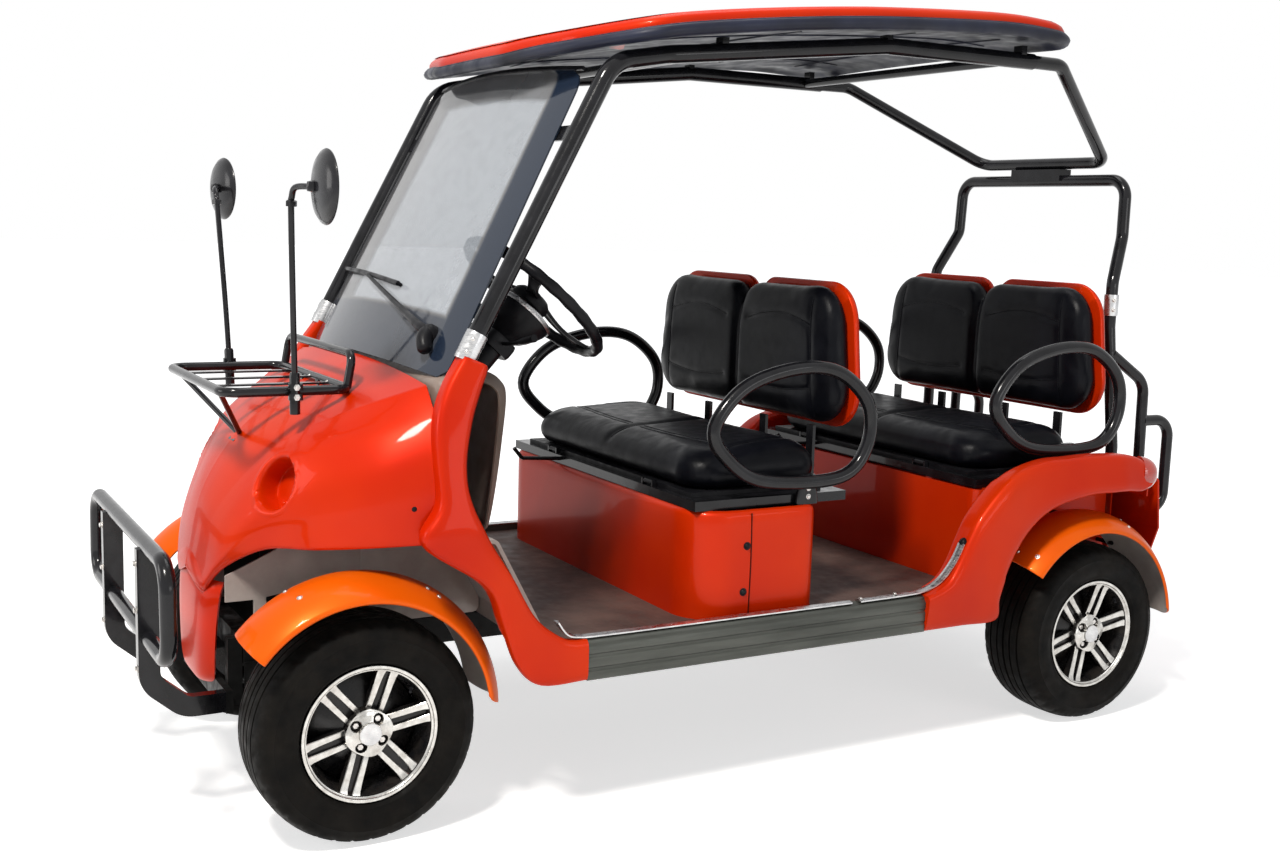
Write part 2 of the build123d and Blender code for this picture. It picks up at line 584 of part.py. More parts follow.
with BuildPart() as seat_frames:
    for _, shift in BENCHES:
        add(block((shift - 242, -470, BOX_TOP_Z + 0.3), (shift + STRAP_X + STRAP_T, 470, FRAME_TOP_Z)))
        add(block((shift - 190, -400, BOX_TOP_Z - 2), (shift + 60, 400, BOX_TOP_Z + 30)), mode=Mode.SUBTRACT)
        add(tube([(shift - 371, 200, 665), (shift - 348, 200, 638), (shift - 240, 200, 631)], 12, 5))
        for _, side in SIDES:
            for cheek in (-1, 1):
                low, high = sorted((side * HINGE_Y + cheek * 20, side * HINGE_Y + cheek * 25))
                add(block((shift - 239, low, FRAME_TOP_Z - 2), (shift - 227, high, HINGE_Z + 6)))
            add(rod((shift + HINGE_X, side * HINGE_Y - 24, HINGE_Z),
                    (shift + HINGE_X, side * HINGE_Y + 24, HINGE_Z), PIN_R))
        for y in BACK_STRAPS:
            add(block((shift + STRAP_X, y - 13, BOX_TOP_Z + 2),
                      (shift + STRAP_X + STRAP_T, y + 13, BACK_LOW - 0.3)))
save(seat_frames.part, "seat_frames")


def bench_backs(low_x, high_x, grow):
    """Two-hump upright panels for both benches."""
    with BuildPart() as made:
        for _, shift in BENCHES:
            with BuildSketch(Plane.YZ.offset(shift + low_x)):
                for flip in (-1, 1):
                    with BuildLine():
                        FilletPolyline(*[(flip * y, z) for y, z in (
                            (0, BACK_LOW - grow), (SEAT_HALF_W + grow, BACK_LOW - grow),
                            (SEAT_HALF_W - 42 + grow, BACK_TOP + grow), (30, BACK_TOP + grow),
                            (0, BACK_TOP - 45 + grow))], radius=[1, 80, 85, 50, 1], close=True)
                    make_face()
            extrude(amount=high_x - low_x)
    return made.part


with BuildPart() as backrests:
    add(bench_backs(156.3, 222, 0))
save(backrests.part, "backrests")

with BuildPart() as back_shells:
    add(bench_backs(222.3, 244, 6))
save(back_shells.part, "back_shells")

with BuildPart() as armrests:
    for (_, shift), rise in zip(BENCHES, (0, 32)):
        for _, side in SIDES:
            y = side * ARMREST_Y
            ring = [(-212, 806), (-135, 892), (0, 930), (118, 918), (205, 842), (206, 742), (130, 676),
                    (-80, 680), (-180, 738)]
            add(tube([(shift + x, y, z + rise) for x, z in ring], 55, 16, True))
            low, high = sorted((side * 470.3, side * 486))
            add(block((shift + 20, low, BOX_TOP_Z + 0.3), (shift + 80, high, 680 + rise)))
save(armrests.part, "armrests")

# ---------------------------------------------------------------- steering column, pod and pedals
STEER_R = 176
hub_plane = Plane(WHEEL_CENTRE, z_dir=column_axis)
with BuildPart() as steering_wheel:
    add(hub_plane * Torus(STEER_R, 13, mode=Mode.PRIVATE))
    add(hub_plane * Pos(0, 0, -12) * Cylinder(28, 24, mode=Mode.PRIVATE))
    for turn in (0, 120, 240):
        spoke = hub_plane * Rot(0, 0, turn) * Pos(STEER_R / 2 + 8, 0, -8)
        add(spoke * Box(STEER_R - 20, 26, 6, mode=Mode.PRIVATE))
    add(hub_plane * Pos(0, 0, -138) * Cylinder(SHAFT_R, 250, mode=Mode.PRIVATE))
save(steering_wheel.part, "steering_wheel")

POD_DROP, POD_H, COLUMN_L = 34, 66, 150
with BuildPart() as instrument_pod:
    with BuildSketch(Plane(WHEEL_CENTRE - column_axis * (POD_DROP + POD_H), z_dir=column_axis)):
        Circle(45)
    with BuildSketch(Plane(WHEEL_CENTRE - column_axis * POD_DROP, z_dir=column_axis)):
        Circle(75)
    loft()
    column_middle = hub_plane * Pos(0, 0, -POD_DROP - POD_H - COLUMN_L / 2 + 5)
    shaft_middle = hub_plane * Pos(0, 0, -POD_DROP - 125)
    add(column_middle * Cylinder(COLUMN_R, COLUMN_L + 10, mode=Mode.PRIVATE))
    add(shaft_middle * Cylinder(SHAFT_R + 5, 270, mode=Mode.PRIVATE), mode=Mode.SUBTRACT)
    for z in (-POD_DROP - 30, -POD_DROP - POD_H - COLUMN_L + 30):
        add(hub_plane * Pos(0, 0, z) * Cylinder(SHAFT_R + 6, 24, mode=Mode.PRIVATE))
    add(shaft_middle * Cylinder(SHAFT_R + RUN, 270, mode=Mode.PRIVATE), mode=Mode.SUBTRACT)
save(instrument_pod.part, "instrument_pod")

with BuildPart() as pedals:
    for y in (-330, -190):
        add(rod((-716, y, 560), (-668, y, 500), 6))
        add(Plane((-664, y, 494), z_dir=(0.75, 0, 0.66)) * Box(56, 70, 8, mode=Mode.PRIVATE))
    add(inner_panels.part, mode=Mode.SUBTRACT)
save(pedals.part, "pedals")

# ---------------------------------------------------------------- axles
with BuildPart() as front_axle:
    add(block((FRONT_AXLE_X - 20, -240, KNUCKLE_Z - 65), (FRONT_AXLE_X + 20, 240, KNUCKLE_Z - 30)))
    for _, side in SIDES:
        low, high = sorted((side * 222, side * 262))
        add(block((FRONT_AXLE_X - 20, low, KNUCKLE_Z - 65), (FRONT_AXLE_X + 20, high, KNUCKLE_Z + 20)))
        low, high = sorted((side * 240, side * KINGPIN_Y))
        add(block((FRONT_AXLE_X - 18, low, KNUCKLE_Z - 18), (FRONT_AXLE_X + 18, high, KNUCKLE_Z + 18)))
        add(Pos(FRONT_AXLE_X, side * KINGPIN_Y, KNUCKLE_Z) * Cylinder(22, 50, mode=Mode.PRIVATE))
        add(Pos(FRONT_AXLE_X, side * KINGPIN_Y, KNUCKLE_Z) * Cylinder(KINGPIN_R + RUN, 60, mode=Mode.PRIVATE),
            mode=Mode.SUBTRACT)
save(front_axle.part, "front_axle")

ARM_Z, ROD_Z = KNUCKLE_Z + 37, KNUCKLE_Z + 56
STAY_TOP_Z = WHEEL_R + 282.5         # where the stays meet the front fenders
for name, side in SIDES:
    with BuildPart() as knuckle:
        for z in (KNUCKLE_Z - 46, KNUCKLE_Z + 29):
            add(Pos(FRONT_AXLE_X, side * KINGPIN_Y, z + 8) * Cylinder(22, 16, mode=Mode.PRIVATE))
            low, high = sorted((side * KINGPIN_Y, side * 334))
            add(block((FRONT_AXLE_X - 20, low, z), (FRONT_AXLE_X + 20, high, z + 16)))
        low, high = sorted((side * 328, side * 340))
        add(block((FRONT_AXLE_X - 24, low, KNUCKLE_Z - 46), (FRONT_AXLE_X + 24, high, KNUCKLE_Z + 45)))
        add(rod((FRONT_AXLE_X, side * 338, WHEEL_R), (FRONT_AXLE_X, side * 440, WHEEL_R), 12))
        add(rod((FRONT_AXLE_X, side * KINGPIN_Y, KNUCKLE_Z - 46),
                (FRONT_AXLE_X, side * KINGPIN_Y, KNUCKLE_Z + 45), KINGPIN_R))
        pivot_x = FRONT_AXLE_X + STEER_ARM
        add(rod((FRONT_AXLE_X + 10, side * KINGPIN_Y, ARM_Z), (pivot_x, side * KINGPIN_Y, ARM_Z), 7))
        add(Pos(FRONT_AXLE_X + STEER_ARM, side * KINGPIN_Y, ARM_Z) * Cylinder(13, 16, mode=Mode.PRIVATE))
        add(rod((pivot_x, side * KINGPIN_Y, ARM_Z - 5), (pivot_x, side * KINGPIN_Y, ROD_Z + 10), 5))
        stalk_y = KINGPIN_Y - 14          # the fender's stay stands inside the wheel
        low, high = sorted((side * stalk_y, side * (stalk_y + 6)))
        add(block((FRONT_AXLE_X - 15, low, ARM_Z - 5), (FRONT_AXLE_X + 15, high, STAY_TOP_Z)))
        low, high = sorted((side * stalk_y, side * 345))
        add(block((FRONT_AXLE_X - 15, low, STAY_TOP_Z - 6), (FRONT_AXLE_X + 15, high, STAY_TOP_Z)))
    save(knuckle.part, f"knuckle_{name}")

with BuildPart() as tie_rod:
    rod_x, rod_z = FRONT_AXLE_X + STEER_ARM, ROD_Z
    add(rod((rod_x, -KINGPIN_Y, rod_z), (rod_x, KINGPIN_Y, rod_z), 7))
    for _, side in SIDES:
        ball = Pos(rod_x, side * KINGPIN_Y, rod_z)
        play = RUN if side < 0 else 0.5
        add(ball * Cylinder(9, 18, mode=Mode.PRIVATE))
        add(ball * Cylinder(5 + play, 30, mode=Mode.PRIVATE), mode=Mode.SUBTRACT)
save(tie_rod.part, "tie_rod")

with BuildPart() as rear_axle:
    add(rod((REAR_AXLE_X, -392, WHEEL_R), (REAR_AXLE_X, 392, WHEEL_R), 30))
    add(Pos(REAR_AXLE_X, 0, WHEEL_R) * Sphere(78, mode=Mode.PRIVATE))
    for _, side in SIDES:
        add(rod((REAR_AXLE_X, side * 382, WHEEL_R), (REAR_AXLE_X, side * 402, WHEEL_R), 80))
        add(rod((REAR_AXLE_X, side * 400, WHEEL_R), (REAR_AXLE_X, side * 510, WHEEL_R), 14))
save(rear_axle.part, "rear_axle")

with BuildPart() as drive_motor:
    add(rod((REAR_AXLE_X + 78.3, 0, WHEEL_R), (REAR_AXLE_X + 262, 0, WHEEL_R), 70))
save(drive_motor.part, "drive_motor")

with BuildPart() as leaf_springs:
    for axle_x, mid_z, eye_z, thick in SPRINGS:
        for _, side in SIDES:
            low, high = side * RAIL_Y - 22, side * RAIL_Y + 22
            add(bar([(axle_x - SPRING_HALF, eye_z), (axle_x - 50, mid_z), (axle_x + 50, mid_z),
                     (axle_x + SPRING_HALF, eye_z)], 60, thick, low, high))
            for end in (-1, 1):
                eye_x = axle_x + end * SPRING_HALF
                add(rod((eye_x, low, eye_z), (eye_x, high, eye_z), 13))
                add(rod((eye_x, low - 1, eye_z), (eye_x, high + 1, eye_z), EYE_PIN_R), mode=Mode.SUBTRACT)
save(leaf_springs.part, "leaf_springs")

# ---------------------------------------------------------------- wheels and fenders
# Half of the tyre's section: distance from its middle plane, radius
TYRE_SECTION = (
    (-70.7, BEAD_R), (-70.7, FLANGE_R + 0.3), (-82, FLANGE_R + 4), (-TYRE_W / 2, WHEEL_R - 64.5),
    (-TYRE_W / 2, WHEEL_R - 39.5), (-TREAD_W / 2, WHEEL_R - 7.5), (-40, WHEEL_R))
TYRE_INSIDE = ((-58, BEAD_R), (-62, FLANGE_R), (-78, WHEEL_R - 61.5), (-78, WHEEL_R - 41.5),
               (-62, WHEEL_R - 19.5))
for end, axle_x, tyre_y in (("front", FRONT_AXLE_X, FRONT_TYRE_Y), ("rear", REAR_AXLE_X, REAR_TYRE_Y)):
    for name, side in SIDES:
        centre = Plane((axle_x, side * tyre_y, WHEEL_R), x_dir=(1, 0, 0), z_dir=(0, side, 0))
        profile = Plane(centre.origin, x_dir=centre.z_dir, z_dir=(1, 0, 0))
        with BuildPart() as tyre:
            with BuildSketch(profile):
                with BuildLine():
                    Polyline(*[(y, z) for y, z in TYRE_SECTION],
                             *[(-y, z) for y, z in reversed(TYRE_SECTION)],
                             *[(-y, z) for y, z in TYRE_INSIDE],
                             *[(y, z) for y, z in reversed(TYRE_INSIDE)],
                             close=True)
                make_face()
            revolve(axis=Axis(centre.origin, centre.z_dir))
        save(tyre.part, f"tyre_{end}_{name}")

        with BuildPart() as rim:
            with BuildSketch(profile):
                with BuildLine():
                    Polyline((-RIM_W / 2 - 4, FLANGE_R), (-RIM_W / 2 + 5, FLANGE_R), (-RIM_W / 2 + 5, BEAD_R),
                             (-58, BEAD_R), (-40, 118), (40, 118), (58, BEAD_R), (RIM_W / 2 - 5, BEAD_R),
                             (RIM_W / 2 - 5, FLANGE_R), (RIM_W / 2 + 4, FLANGE_R), (RIM_W / 2 + 4, 122),
                             (44, BARREL_R), (-44, BARREL_R), (-RIM_W / 2 - 4, 122), close=True)
                make_face()
            revolve(axis=Axis(centre.origin, centre.z_dir))
            with BuildSketch(centre.offset(56)):
                Circle(122)
                with PolarLocations(0, 6):
                    Polygon((56, -3), (112, -6), (112, 6), (56, 3), align=None, mode=Mode.SUBTRACT)
                with PolarLocations(0, 6, start_angle=30):
                    Polygon((62, 0), (105, -32), (114, 0), (105, 32), align=None, mode=Mode.SUBTRACT)
            extrude(amount=16)
            with BuildSketch(centre.offset(10)):
                Circle(46)
            extrude(amount=64)
            with BuildSketch(centre.offset(6)):
                Circle(14 + 0.05 if end == "rear" else 12.05)
            extrude(amount=34 if end == "rear" else 32, mode=Mode.SUBTRACT)
        save(rim.part, f"rim_{end}_{name}")

# ---------------------------------------------------------------- fenders
FENDER_SWEEP = (2, 140)              # degrees up from level at the rear, and the span
FENDER_DROP = 12                     # its centre lies ahead of the axle and above it


def fender(axle_x, side, inner_y, outer_y, crown_r):
    """An arched guard over one wheel, crowned across its width."""
    centre = Vector(axle_x - FENDER_DROP, 0, WHEEL_R + FENDER_DROP)
    crown_y = (inner_y + outer_y) / 2
    start = radians(FENDER_SWEEP[0])
    across = Plane(centre, x_dir=(0, side, 0), z_dir=(side * sin(start), 0, -side * cos(start)))
    with BuildPart() as made:
        with BuildSketch(across):
            with BuildLine():
                ThreePointArc((inner_y, crown_r - 30), (crown_y, crown_r), (outer_y, crown_r - 38))
                Line((outer_y, crown_r - 38), (outer_y - SKIN, crown_r - 38))
                ThreePointArc((outer_y - SKIN, crown_r - 38), (crown_y, crown_r - SKIN),
                              (inner_y + SKIN, crown_r - 30))
                Line((inner_y + SKIN, crown_r - 30), (inner_y, crown_r - 30))
            make_face()
        revolve(axis=Axis(centre, (0, -1, 0)), revolution_arc=FENDER_SWEEP[1])
    return made.part


for name, side in SIDES:
    with BuildPart() as front_fender:
        add(fender(FRONT_AXLE_X, side, 334, 506, 302))
    save(front_fender.part, f"front_fender_{name}")

with BuildPart() as rear_fenders:
    for _, side in SIDES:
        add(fender(REAR_AXLE_X, side, 406, 580, 302))
        for angle in (42, 85, 122):
            x = REAR_AXLE_X - FENDER_DROP + 275 * cos(radians(angle))
            z = WHEEL_R + FENDER_DROP + 275 * sin(radians(angle))
            add(rod((x, side * (WELL_Y + SKIN + 0.3), z), (x, side * 414, z), 6))
save(rear_fenders.part, "rear_fenders")
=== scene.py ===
import contextlib
import json
import math

import bmesh
import bpy
import numpy as np
from mathutils import Matrix, Vector


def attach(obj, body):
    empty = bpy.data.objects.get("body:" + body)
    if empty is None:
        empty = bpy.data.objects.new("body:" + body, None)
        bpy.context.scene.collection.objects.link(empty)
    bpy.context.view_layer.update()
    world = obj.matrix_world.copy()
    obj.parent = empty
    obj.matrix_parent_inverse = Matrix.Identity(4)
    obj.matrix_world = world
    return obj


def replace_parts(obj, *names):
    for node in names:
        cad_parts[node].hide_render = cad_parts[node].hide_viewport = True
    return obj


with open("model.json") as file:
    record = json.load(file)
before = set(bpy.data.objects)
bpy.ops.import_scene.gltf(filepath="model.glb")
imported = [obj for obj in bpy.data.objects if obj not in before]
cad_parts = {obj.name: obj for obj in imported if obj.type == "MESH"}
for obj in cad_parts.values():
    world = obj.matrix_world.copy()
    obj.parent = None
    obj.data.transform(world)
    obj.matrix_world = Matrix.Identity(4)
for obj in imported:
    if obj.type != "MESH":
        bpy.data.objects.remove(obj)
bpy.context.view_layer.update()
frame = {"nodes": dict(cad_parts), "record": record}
NODES = frame["nodes"]
SIDES = (("left", -1), ("right", 1))


# ---- camera
# solved from the photo: degrees, metres and millimetres of lens
YAW, PITCH, ROLL = 29.6658, 8.1014, 1.7486
CAMERA_AT, LENS = (-1.8806, -3.0928, 1.2434), 40.52


def aim_camera():
    yaw, pitch, roll = (math.radians(a) for a in (YAW, PITCH, ROLL))
    look = Vector((math.sin(yaw) * math.cos(pitch), math.cos(yaw) * math.cos(pitch), -math.sin(pitch)))
    right = look.cross(Vector((0, 0, 1))).normalized()
    up = right.cross(look)
    x_axis = right * math.cos(roll) + up * math.sin(roll)
    y_axis = up * math.cos(roll) - right * math.sin(roll)
    data = bpy.data.cameras.new("camera")
    data.lens, data.sensor_width = LENS, 36
    data.clip_end = 60
    cam = bpy.data.objects.new("camera", data)
    bpy.context.collection.objects.link(cam)
    spot = Matrix((x_axis, y_axis, -look)).transposed().to_4x4()
    spot.translation = Vector(CAMERA_AT)
    cam.matrix_world = spot
    bpy.context.scene.camera = cam


aim_camera()


# ---- materials
def add_node(tree, kind, inputs=(), links=(), **props):
    node = tree.nodes.new("ShaderNode" + kind)
    for key, value in props.items():
        setattr(node, key, value)
    for key, value in dict(inputs).items():
        node.inputs[key].default_value = value
    for key, source in dict(links).items():
        tree.links.new(source, node.inputs[key])
    return node


LOW, HIGH = 0.3, 0.7  # the span that most noise fills


class Nodes:
    """A short way to write node materials."""

    def __init__(self, name, colour, metallic=0.0, roughness=0.5, coat=0.0, coat_rough=0.05, spec=0.5):
        self.mat = bpy.data.materials.new(name)
        self.mat.use_nodes = True
        self.t = self.mat.node_tree
        self.p = self.t.nodes["Principled BSDF"]
        for key, value in (("Base Color", (*colour, 1)), ("Metallic", metallic), ("Roughness", roughness),
                           ("Coat Weight", coat), ("Coat Roughness", coat_rough),
                           ("Specular IOR Level", spec)):
            self.p.inputs[key].default_value = value
        self.mat.diffuse_color = (*colour, 1)
        self.co = self.t.nodes.new("ShaderNodeTexCoord").outputs["Object"]
        MATS[name] = self.mat

    def add(self, kind, inputs=(), links=(), **props):
        return add_node(self.t, kind, inputs, links, **props)

    def noise(self, scale, detail=3, rough=0.5, stretch=None):
        vec = self.co
        if stretch:
            vec = self.add("Mapping", {"Scale": stretch}, {"Vector": self.co}).outputs["Vector"]
        return self.add("TexNoise", {"Scale": scale, "Detail": detail, "Roughness": rough},
                        {"Vector": vec}).outputs["Fac"]

    def wave(self, scale, axis):
        return self.add("TexWave", {"Scale": scale}, {"Vector": self.co}, bands_direction=axis).outputs["Fac"]

    def ramp(self, fac, stops):
        """Stops are (position, colour), where one number stands for a grey."""
        node = self.add("ValToRGB", links={"Fac": fac})
        ramp = node.color_ramp
        while len(ramp.elements) < len(stops):
            ramp.elements.new(0.5)
        for element, (pos, col) in zip(ramp.elements, stops):
            element.position = pos
            element.color = (*col, 1) if np.ndim(col) else (col, col, col, 1)
        return node.outputs["Color"]

    def colour(self, fac, stops):
        self.t.links.new(self.ramp(fac, stops), self.p.inputs["Base Color"])

    def rough(self, fac, low, high):
        node = self.add("MapRange", {"From Min": LOW, "From Max": HIGH, "To Min": low, "To Max": high},
                        {"Value": fac})
        self.t.links.new(node.outputs["Result"], self.p.inputs["Roughness"])

    def bump(self, height, strength=0.3, distance=0.001, under=None):
        bump = self.add("Bump", {"Strength": strength, "Distance": distance}, {"Height": height})
        if under:
            self.t.links.new(under.outputs["Normal"], bump.inputs["Normal"])
        self.t.links.new(bump.outputs["Normal"], self.p.inputs["Normal"])
        return bump


MATS = {}

# slot: (colour, metallic, roughness, coat, coat roughness, specular), (colour noise, stops),
#       (roughness noise, lowest, highest), (bump noise, strength, height)
PLAIN = {
    "body_orange": (((0.52, 0.014, 0.0002), 0.16, 0.30, 0.14, 0.04, 0.06),
                    ((3.0, 3), ((LOW, (0.52, 0.014, 0.0002)), (HIGH, (0.63, 0.031, 0.0004)))),
                    ((900, 1), 0.3, 0.44), ((260, 1), 0.05, 0.0004)),
    # the fenders get a lighter, yellower copy of the body paint: painted light, as their tops catch the light
    "lit_fender_orange": (((0.74, 0.095, 0.001), 0.16, 0.30, 0.14, 0.04, 0.06),
                      ((3.0, 3), ((LOW, (0.74, 0.095, 0.001)), (HIGH, (0.82, 0.128, 0.002)))),
                      ((900, 1), 0.3, 0.44), ((260, 1), 0.05, 0.0004)),
    "tyre": (((0.006,) * 3, 0, 0.6, 0, 0.05, 0.06),
             ((14, 4, 0.65), ((0.35, 0.003), (0.75, (0.011, 0.0095, 0.008)))),
             ((40, 3), 0.45, 0.72), ((700, 3), 0.25, 0.0006)),
    "rim_alloy": (((0.50, 0.485, 0.46), 1.0, 0.22),
                  ((60, 4), ((LOW, (0.40, 0.385, 0.36)), (HIGH, (0.60, 0.59, 0.565)))), ((90, 3), 0.14, 0.34),
                  ((500, 2, 0.5, (1, 0.05, 1)), 0.08, 0.0004)),
    "rim_black": (((0.010, 0.010, 0.011), 0, 0.22, 0.2, 0.06, 0.2),
                  ((25, 4), ((0.35, (0.007, 0.007, 0.008)), (0.8, (0.022, 0.018, 0.015)))),
                  ((50, 3), 0.16, 0.42)),
    "chassis_black": (((0.008,) * 3, 0, 0.45, 0.05, 0.05, 0.06), ((18, 4), ((0.35, 0.0056), (0.75, 0.0152))),
                      ((45, 3), 0.3375, 0.675), ((420, 2), 0.08, 0.0005)),
    "tube_black": (((0.007, 0.007, 0.0085), 0, 0.16, 0.22, 0.05, 0.16),
                   ((18, 4), ((0.35, (0.0049, 0.0049, 0.00595)), (0.75, (0.0133, 0.0133, 0.01615)))),
                   ((45, 3), 0.12, 0.24), ((420, 2), 0.08, 0.0005)),
    "sill_aluminium": (((0.055, 0.059, 0.052), 0.5, 0.42),
                       ((5, 5, 0.5, (1, 8, 8)),
                        ((LOW, (0.040, 0.043, 0.037)), (HIGH, (0.078, 0.082, 0.072)))),
                       ((30, 3, 0.5, (1, 12, 12)), 0.3, 0.55), ((260, 2, 0.5, (0.04, 1, 1)), 0.15, 0.0005)),
    "clamp_steel": (((0.52,) * 3, 1.0, 0.3), ((40, 3), ((LOW, (0.42, 0.42, 0.43)), (HIGH, 0.60))),
                    ((60, 3, 0.5, (1, 1, 9)), 0.2, 0.42), ((500, 2, 0.5, (1, 1, 0.06)), 0.12, 0.0004)),
    "floor_mat": (((0.06, 0.035, 0.028), 0, 0.62),
                  ((9, 5, 0.6), ((LOW, (0.04, 0.024, 0.02)), (0.75, (0.11, 0.065, 0.052)))),
                  ((30, 3), 0.5, 0.75)),
    "inner_panel": (((0.36, 0.31, 0.29), 0, 0.5),
                    ((7, 5, 0.6), ((LOW, (0.27, 0.22, 0.2)), (HIGH, (0.44, 0.39, 0.36)))),
                    ((30, 3), 0.4, 0.65), ((300, 3), 0.12, 0.0005)),
    "dash_taupe": (((0.13, 0.10, 0.082), 0, 0.42),
                   ((9, 4), ((LOW, (0.155, 0.117, 0.096)), (HIGH, (0.225, 0.175, 0.146)))),
                   ((40, 3), 0.34, 0.55), ((900, 2), 0.22, 0.0004)),
    "seat_black": (((0.0035, 0.0038, 0.0055), 0, 0.36, 0, 0.05, 0.09),
                   ((12, 4), ((LOW, (0.002, 0.0022, 0.0036)), (0.75, (0.006, 0.0065, 0.0095)))),
                   ((35, 3), 0.28, 0.44)),
    "plastic_black": (((0.007, 0.007, 0.0085), 0, 0.38, 0, 0.05, 0.12),
                      ((16, 4), ((0.35, (0.005, 0.005, 0.0065)), (0.75, (0.014, 0.014, 0.016)))),
                      ((45, 3), 0.26, 0.5), ((800, 2), 0.12, 0.0004)),
    "roof_rubber": (((0.012, 0.014, 0.026), 0, 0.42, 0, 0.05, 0.2),
                    ((6, 4), ((LOW, (0.008, 0.009, 0.015)), (0.75, (0.022, 0.026, 0.05)))),
                    ((20, 3), 0.32, 0.6), ((600, 2), 0.1, 0.0005)),
    "lamp_red": (((0.42, 0.02, 0.006), 0, 0.12, 0.8),
                 ((12, 3), ((LOW, (0.34, 0.012, 0.004)), (HIGH, (0.5, 0.03, 0.008))))),
    "bolt": (((0.55, 0.53, 0.5), 1.0, 0.3),
             ((120, 3), ((LOW, (0.42, 0.4, 0.38)), (HIGH, (0.66, 0.64, 0.62)))),
             ((200, 2), 0.2, 0.45)),
    "mirror_back": (((0.010, 0.010, 0.012), 0, 0.2, 0.15, 0.04, 0.2),
                    ((20, 3), ((LOW, (0.008, 0.008, 0.009)), (0.8, (0.02, 0.02, 0.024)))),
                    ((50, 3), 0.15, 0.32)),
    "mirror_glass": (((0.85, 0.87, 0.88), 1.0, 0.03),
                     ((5, 2), ((LOW, (0.82, 0.84, 0.86)), (HIGH, (0.88, 0.9, 0.9)))),
                     ((12, 2), 0.02, 0.06)),
    # very dark body paint for the seam lines: painted shade in the seams' gaps
    "seam_painted_shade": (((0.05, 0.004, 0.001), 0, 0.5, 0, 0.05, 0.1),
                  ((40, 2), ((LOW, (0.03, 0.002, 0.001)), (HIGH, (0.07, 0.006, 0.001))))),
}


def plain(slot, shade, tint, rough=None, bump=None):
    """A material whose colour, roughness and height follow noise."""
    m = Nodes(slot, *shade)
    m.colour(m.noise(*tint[0]), tint[1])
    if rough:
        m.rough(m.noise(*rough[0]), *rough[1:])
    if bump:
        m.bump(m.noise(*bump[0]), *bump[1:])
    return m


def tinted_glass():
    """Grey and clear in the middle, with darker bands of painted shade along the sheet's edges."""
    m = Nodes("windshield", (0.27, 0.30, 0.34), 0, 0.05, spec=0.4)
    split = m.add("SeparateXYZ", links={"Vector": m.add("UVMap").outputs["UV"]})
    m.p.inputs["Alpha"].default_value, m.p.inputs["IOR"].default_value = 0.6, 1.49
    # the ramps across and along the sheet paint shade into bands at its edges
    across = m.ramp(split.outputs["X"], ((0.0, 1.0), (0.095, 1.0), (0.12, 0.2), (0.77, 0.2),
                                         (0.785, 0.45), (0.97, 0.5), (1.0, 0.7)))
    along = m.ramp(split.outputs["Y"], ((0.0, 0.82), (0.165, 0.78), (0.185, 0.2), (0.88, 0.2), (0.895, 0.42),
                                        (1.0, 0.5)))
    painted_edge_shade = m.add("Math", links={0: across, 1: along}, operation="MAXIMUM").outputs[0]
    # noise darkens the sheet a little in blotches
    blotches = m.add("MapRange", {"From Min": 0.45, "From Max": 0.8, "To Min": 0.0, "To Max": 0.09},
                  {"Value": m.noise(34, 6, 0.7)}).outputs["Result"]
    shade = m.add("Math", links={0: painted_edge_shade, 1: blotches}, operation="ADD", use_clamp=True).outputs[0]
    # the painted shade also makes the sheet less see-through
    solid = m.ramp(shade, ((0.2, 0.56), (0.5, 0.80), (0.8, 0.96), (1.0, 0.97)))
    m.t.links.new(solid, m.p.inputs["Alpha"])
    m.colour(shade, ((0.2, (0.28, 0.31, 0.35)), (0.5, (0.14, 0.14, 0.145)), (0.8, (0.050, 0.057, 0.073)),
                     (1.0, (0.012, 0.020, 0.038))))
    m.rough(m.noise(20, 3), 0.03, 0.09)
    m.mat.surface_render_method = "BLENDED"


def make_materials():
    made = {slot: plain(slot, *row) for slot, row in PLAIN.items()}
    made["floor_mat"].bump(made["floor_mat"].wave(32.0, "Y"), 0.5, 0.0012)
    made["lamp_red"].bump(made["lamp_red"].wave(60.0, "Z"), 0.3, 0.0006)
    seat = made["seat_black"]
    grain = seat.add("TexVoronoi", {"Scale": 520.0}, {"Vector": seat.co}).outputs["Distance"]
    seat.bump(seat.noise(22, 3), 0.14, 0.003, under=seat.bump(grain, 0.2, 0.0004))
    tinted_glass()


make_materials()


# ---- mesh helpers
def new_mesh(name, verts, faces, body, slot, mats, smooth, uvs=None, index=None):
    """A mesh from points, or from a grid of points, that rides on its body."""
    mesh = bpy.data.meshes.new(name)
    mesh.from_pydata(np.reshape(verts, (-1, 3)).tolist(), [], faces)
    for mat in mats or (slot,):
        mesh.materials.append(MATS[mat])
    if index is not None:
        mesh.polygons.foreach_set("material_index", index)
    mesh.polygons.foreach_set("use_smooth", [smooth > 0] * len(mesh.polygons))
    if 0 < smooth < 180:
        mesh.set_sharp_from_angle(angle=math.radians(smooth))
    if uvs is not None:
        layer = mesh.uv_layers.new(name="UVMap")
        loops = np.empty(len(mesh.loops), dtype=np.int64)
        mesh.loops.foreach_get("vertex_index", loops)
        layer.data.foreach_set("uv", np.asarray(uvs, float)[loops].ravel())
    mesh.update()
    obj = bpy.data.objects.new(name, mesh)
    bpy.context.collection.objects.link(obj)
    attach(obj, body)
    return obj


def quads(rows, cols, close_u=False, close_v=False):
    faces = []
    for i in range(rows if close_u else rows - 1):
        for j in range(cols if close_v else cols - 1):
            a, b = i * cols + j, i * cols + (j + 1) % cols
            c, d = ((i + 1) % rows) * cols + (j + 1) % cols, ((i + 1) % rows) * cols + j
            faces.append((a, b, c, d))
    return faces


def end_caps(rows, cols):
    """Flat faces over the first and last loop."""
    return [tuple(reversed(range(cols))), tuple((rows - 1) * cols + j for j in range(cols))]


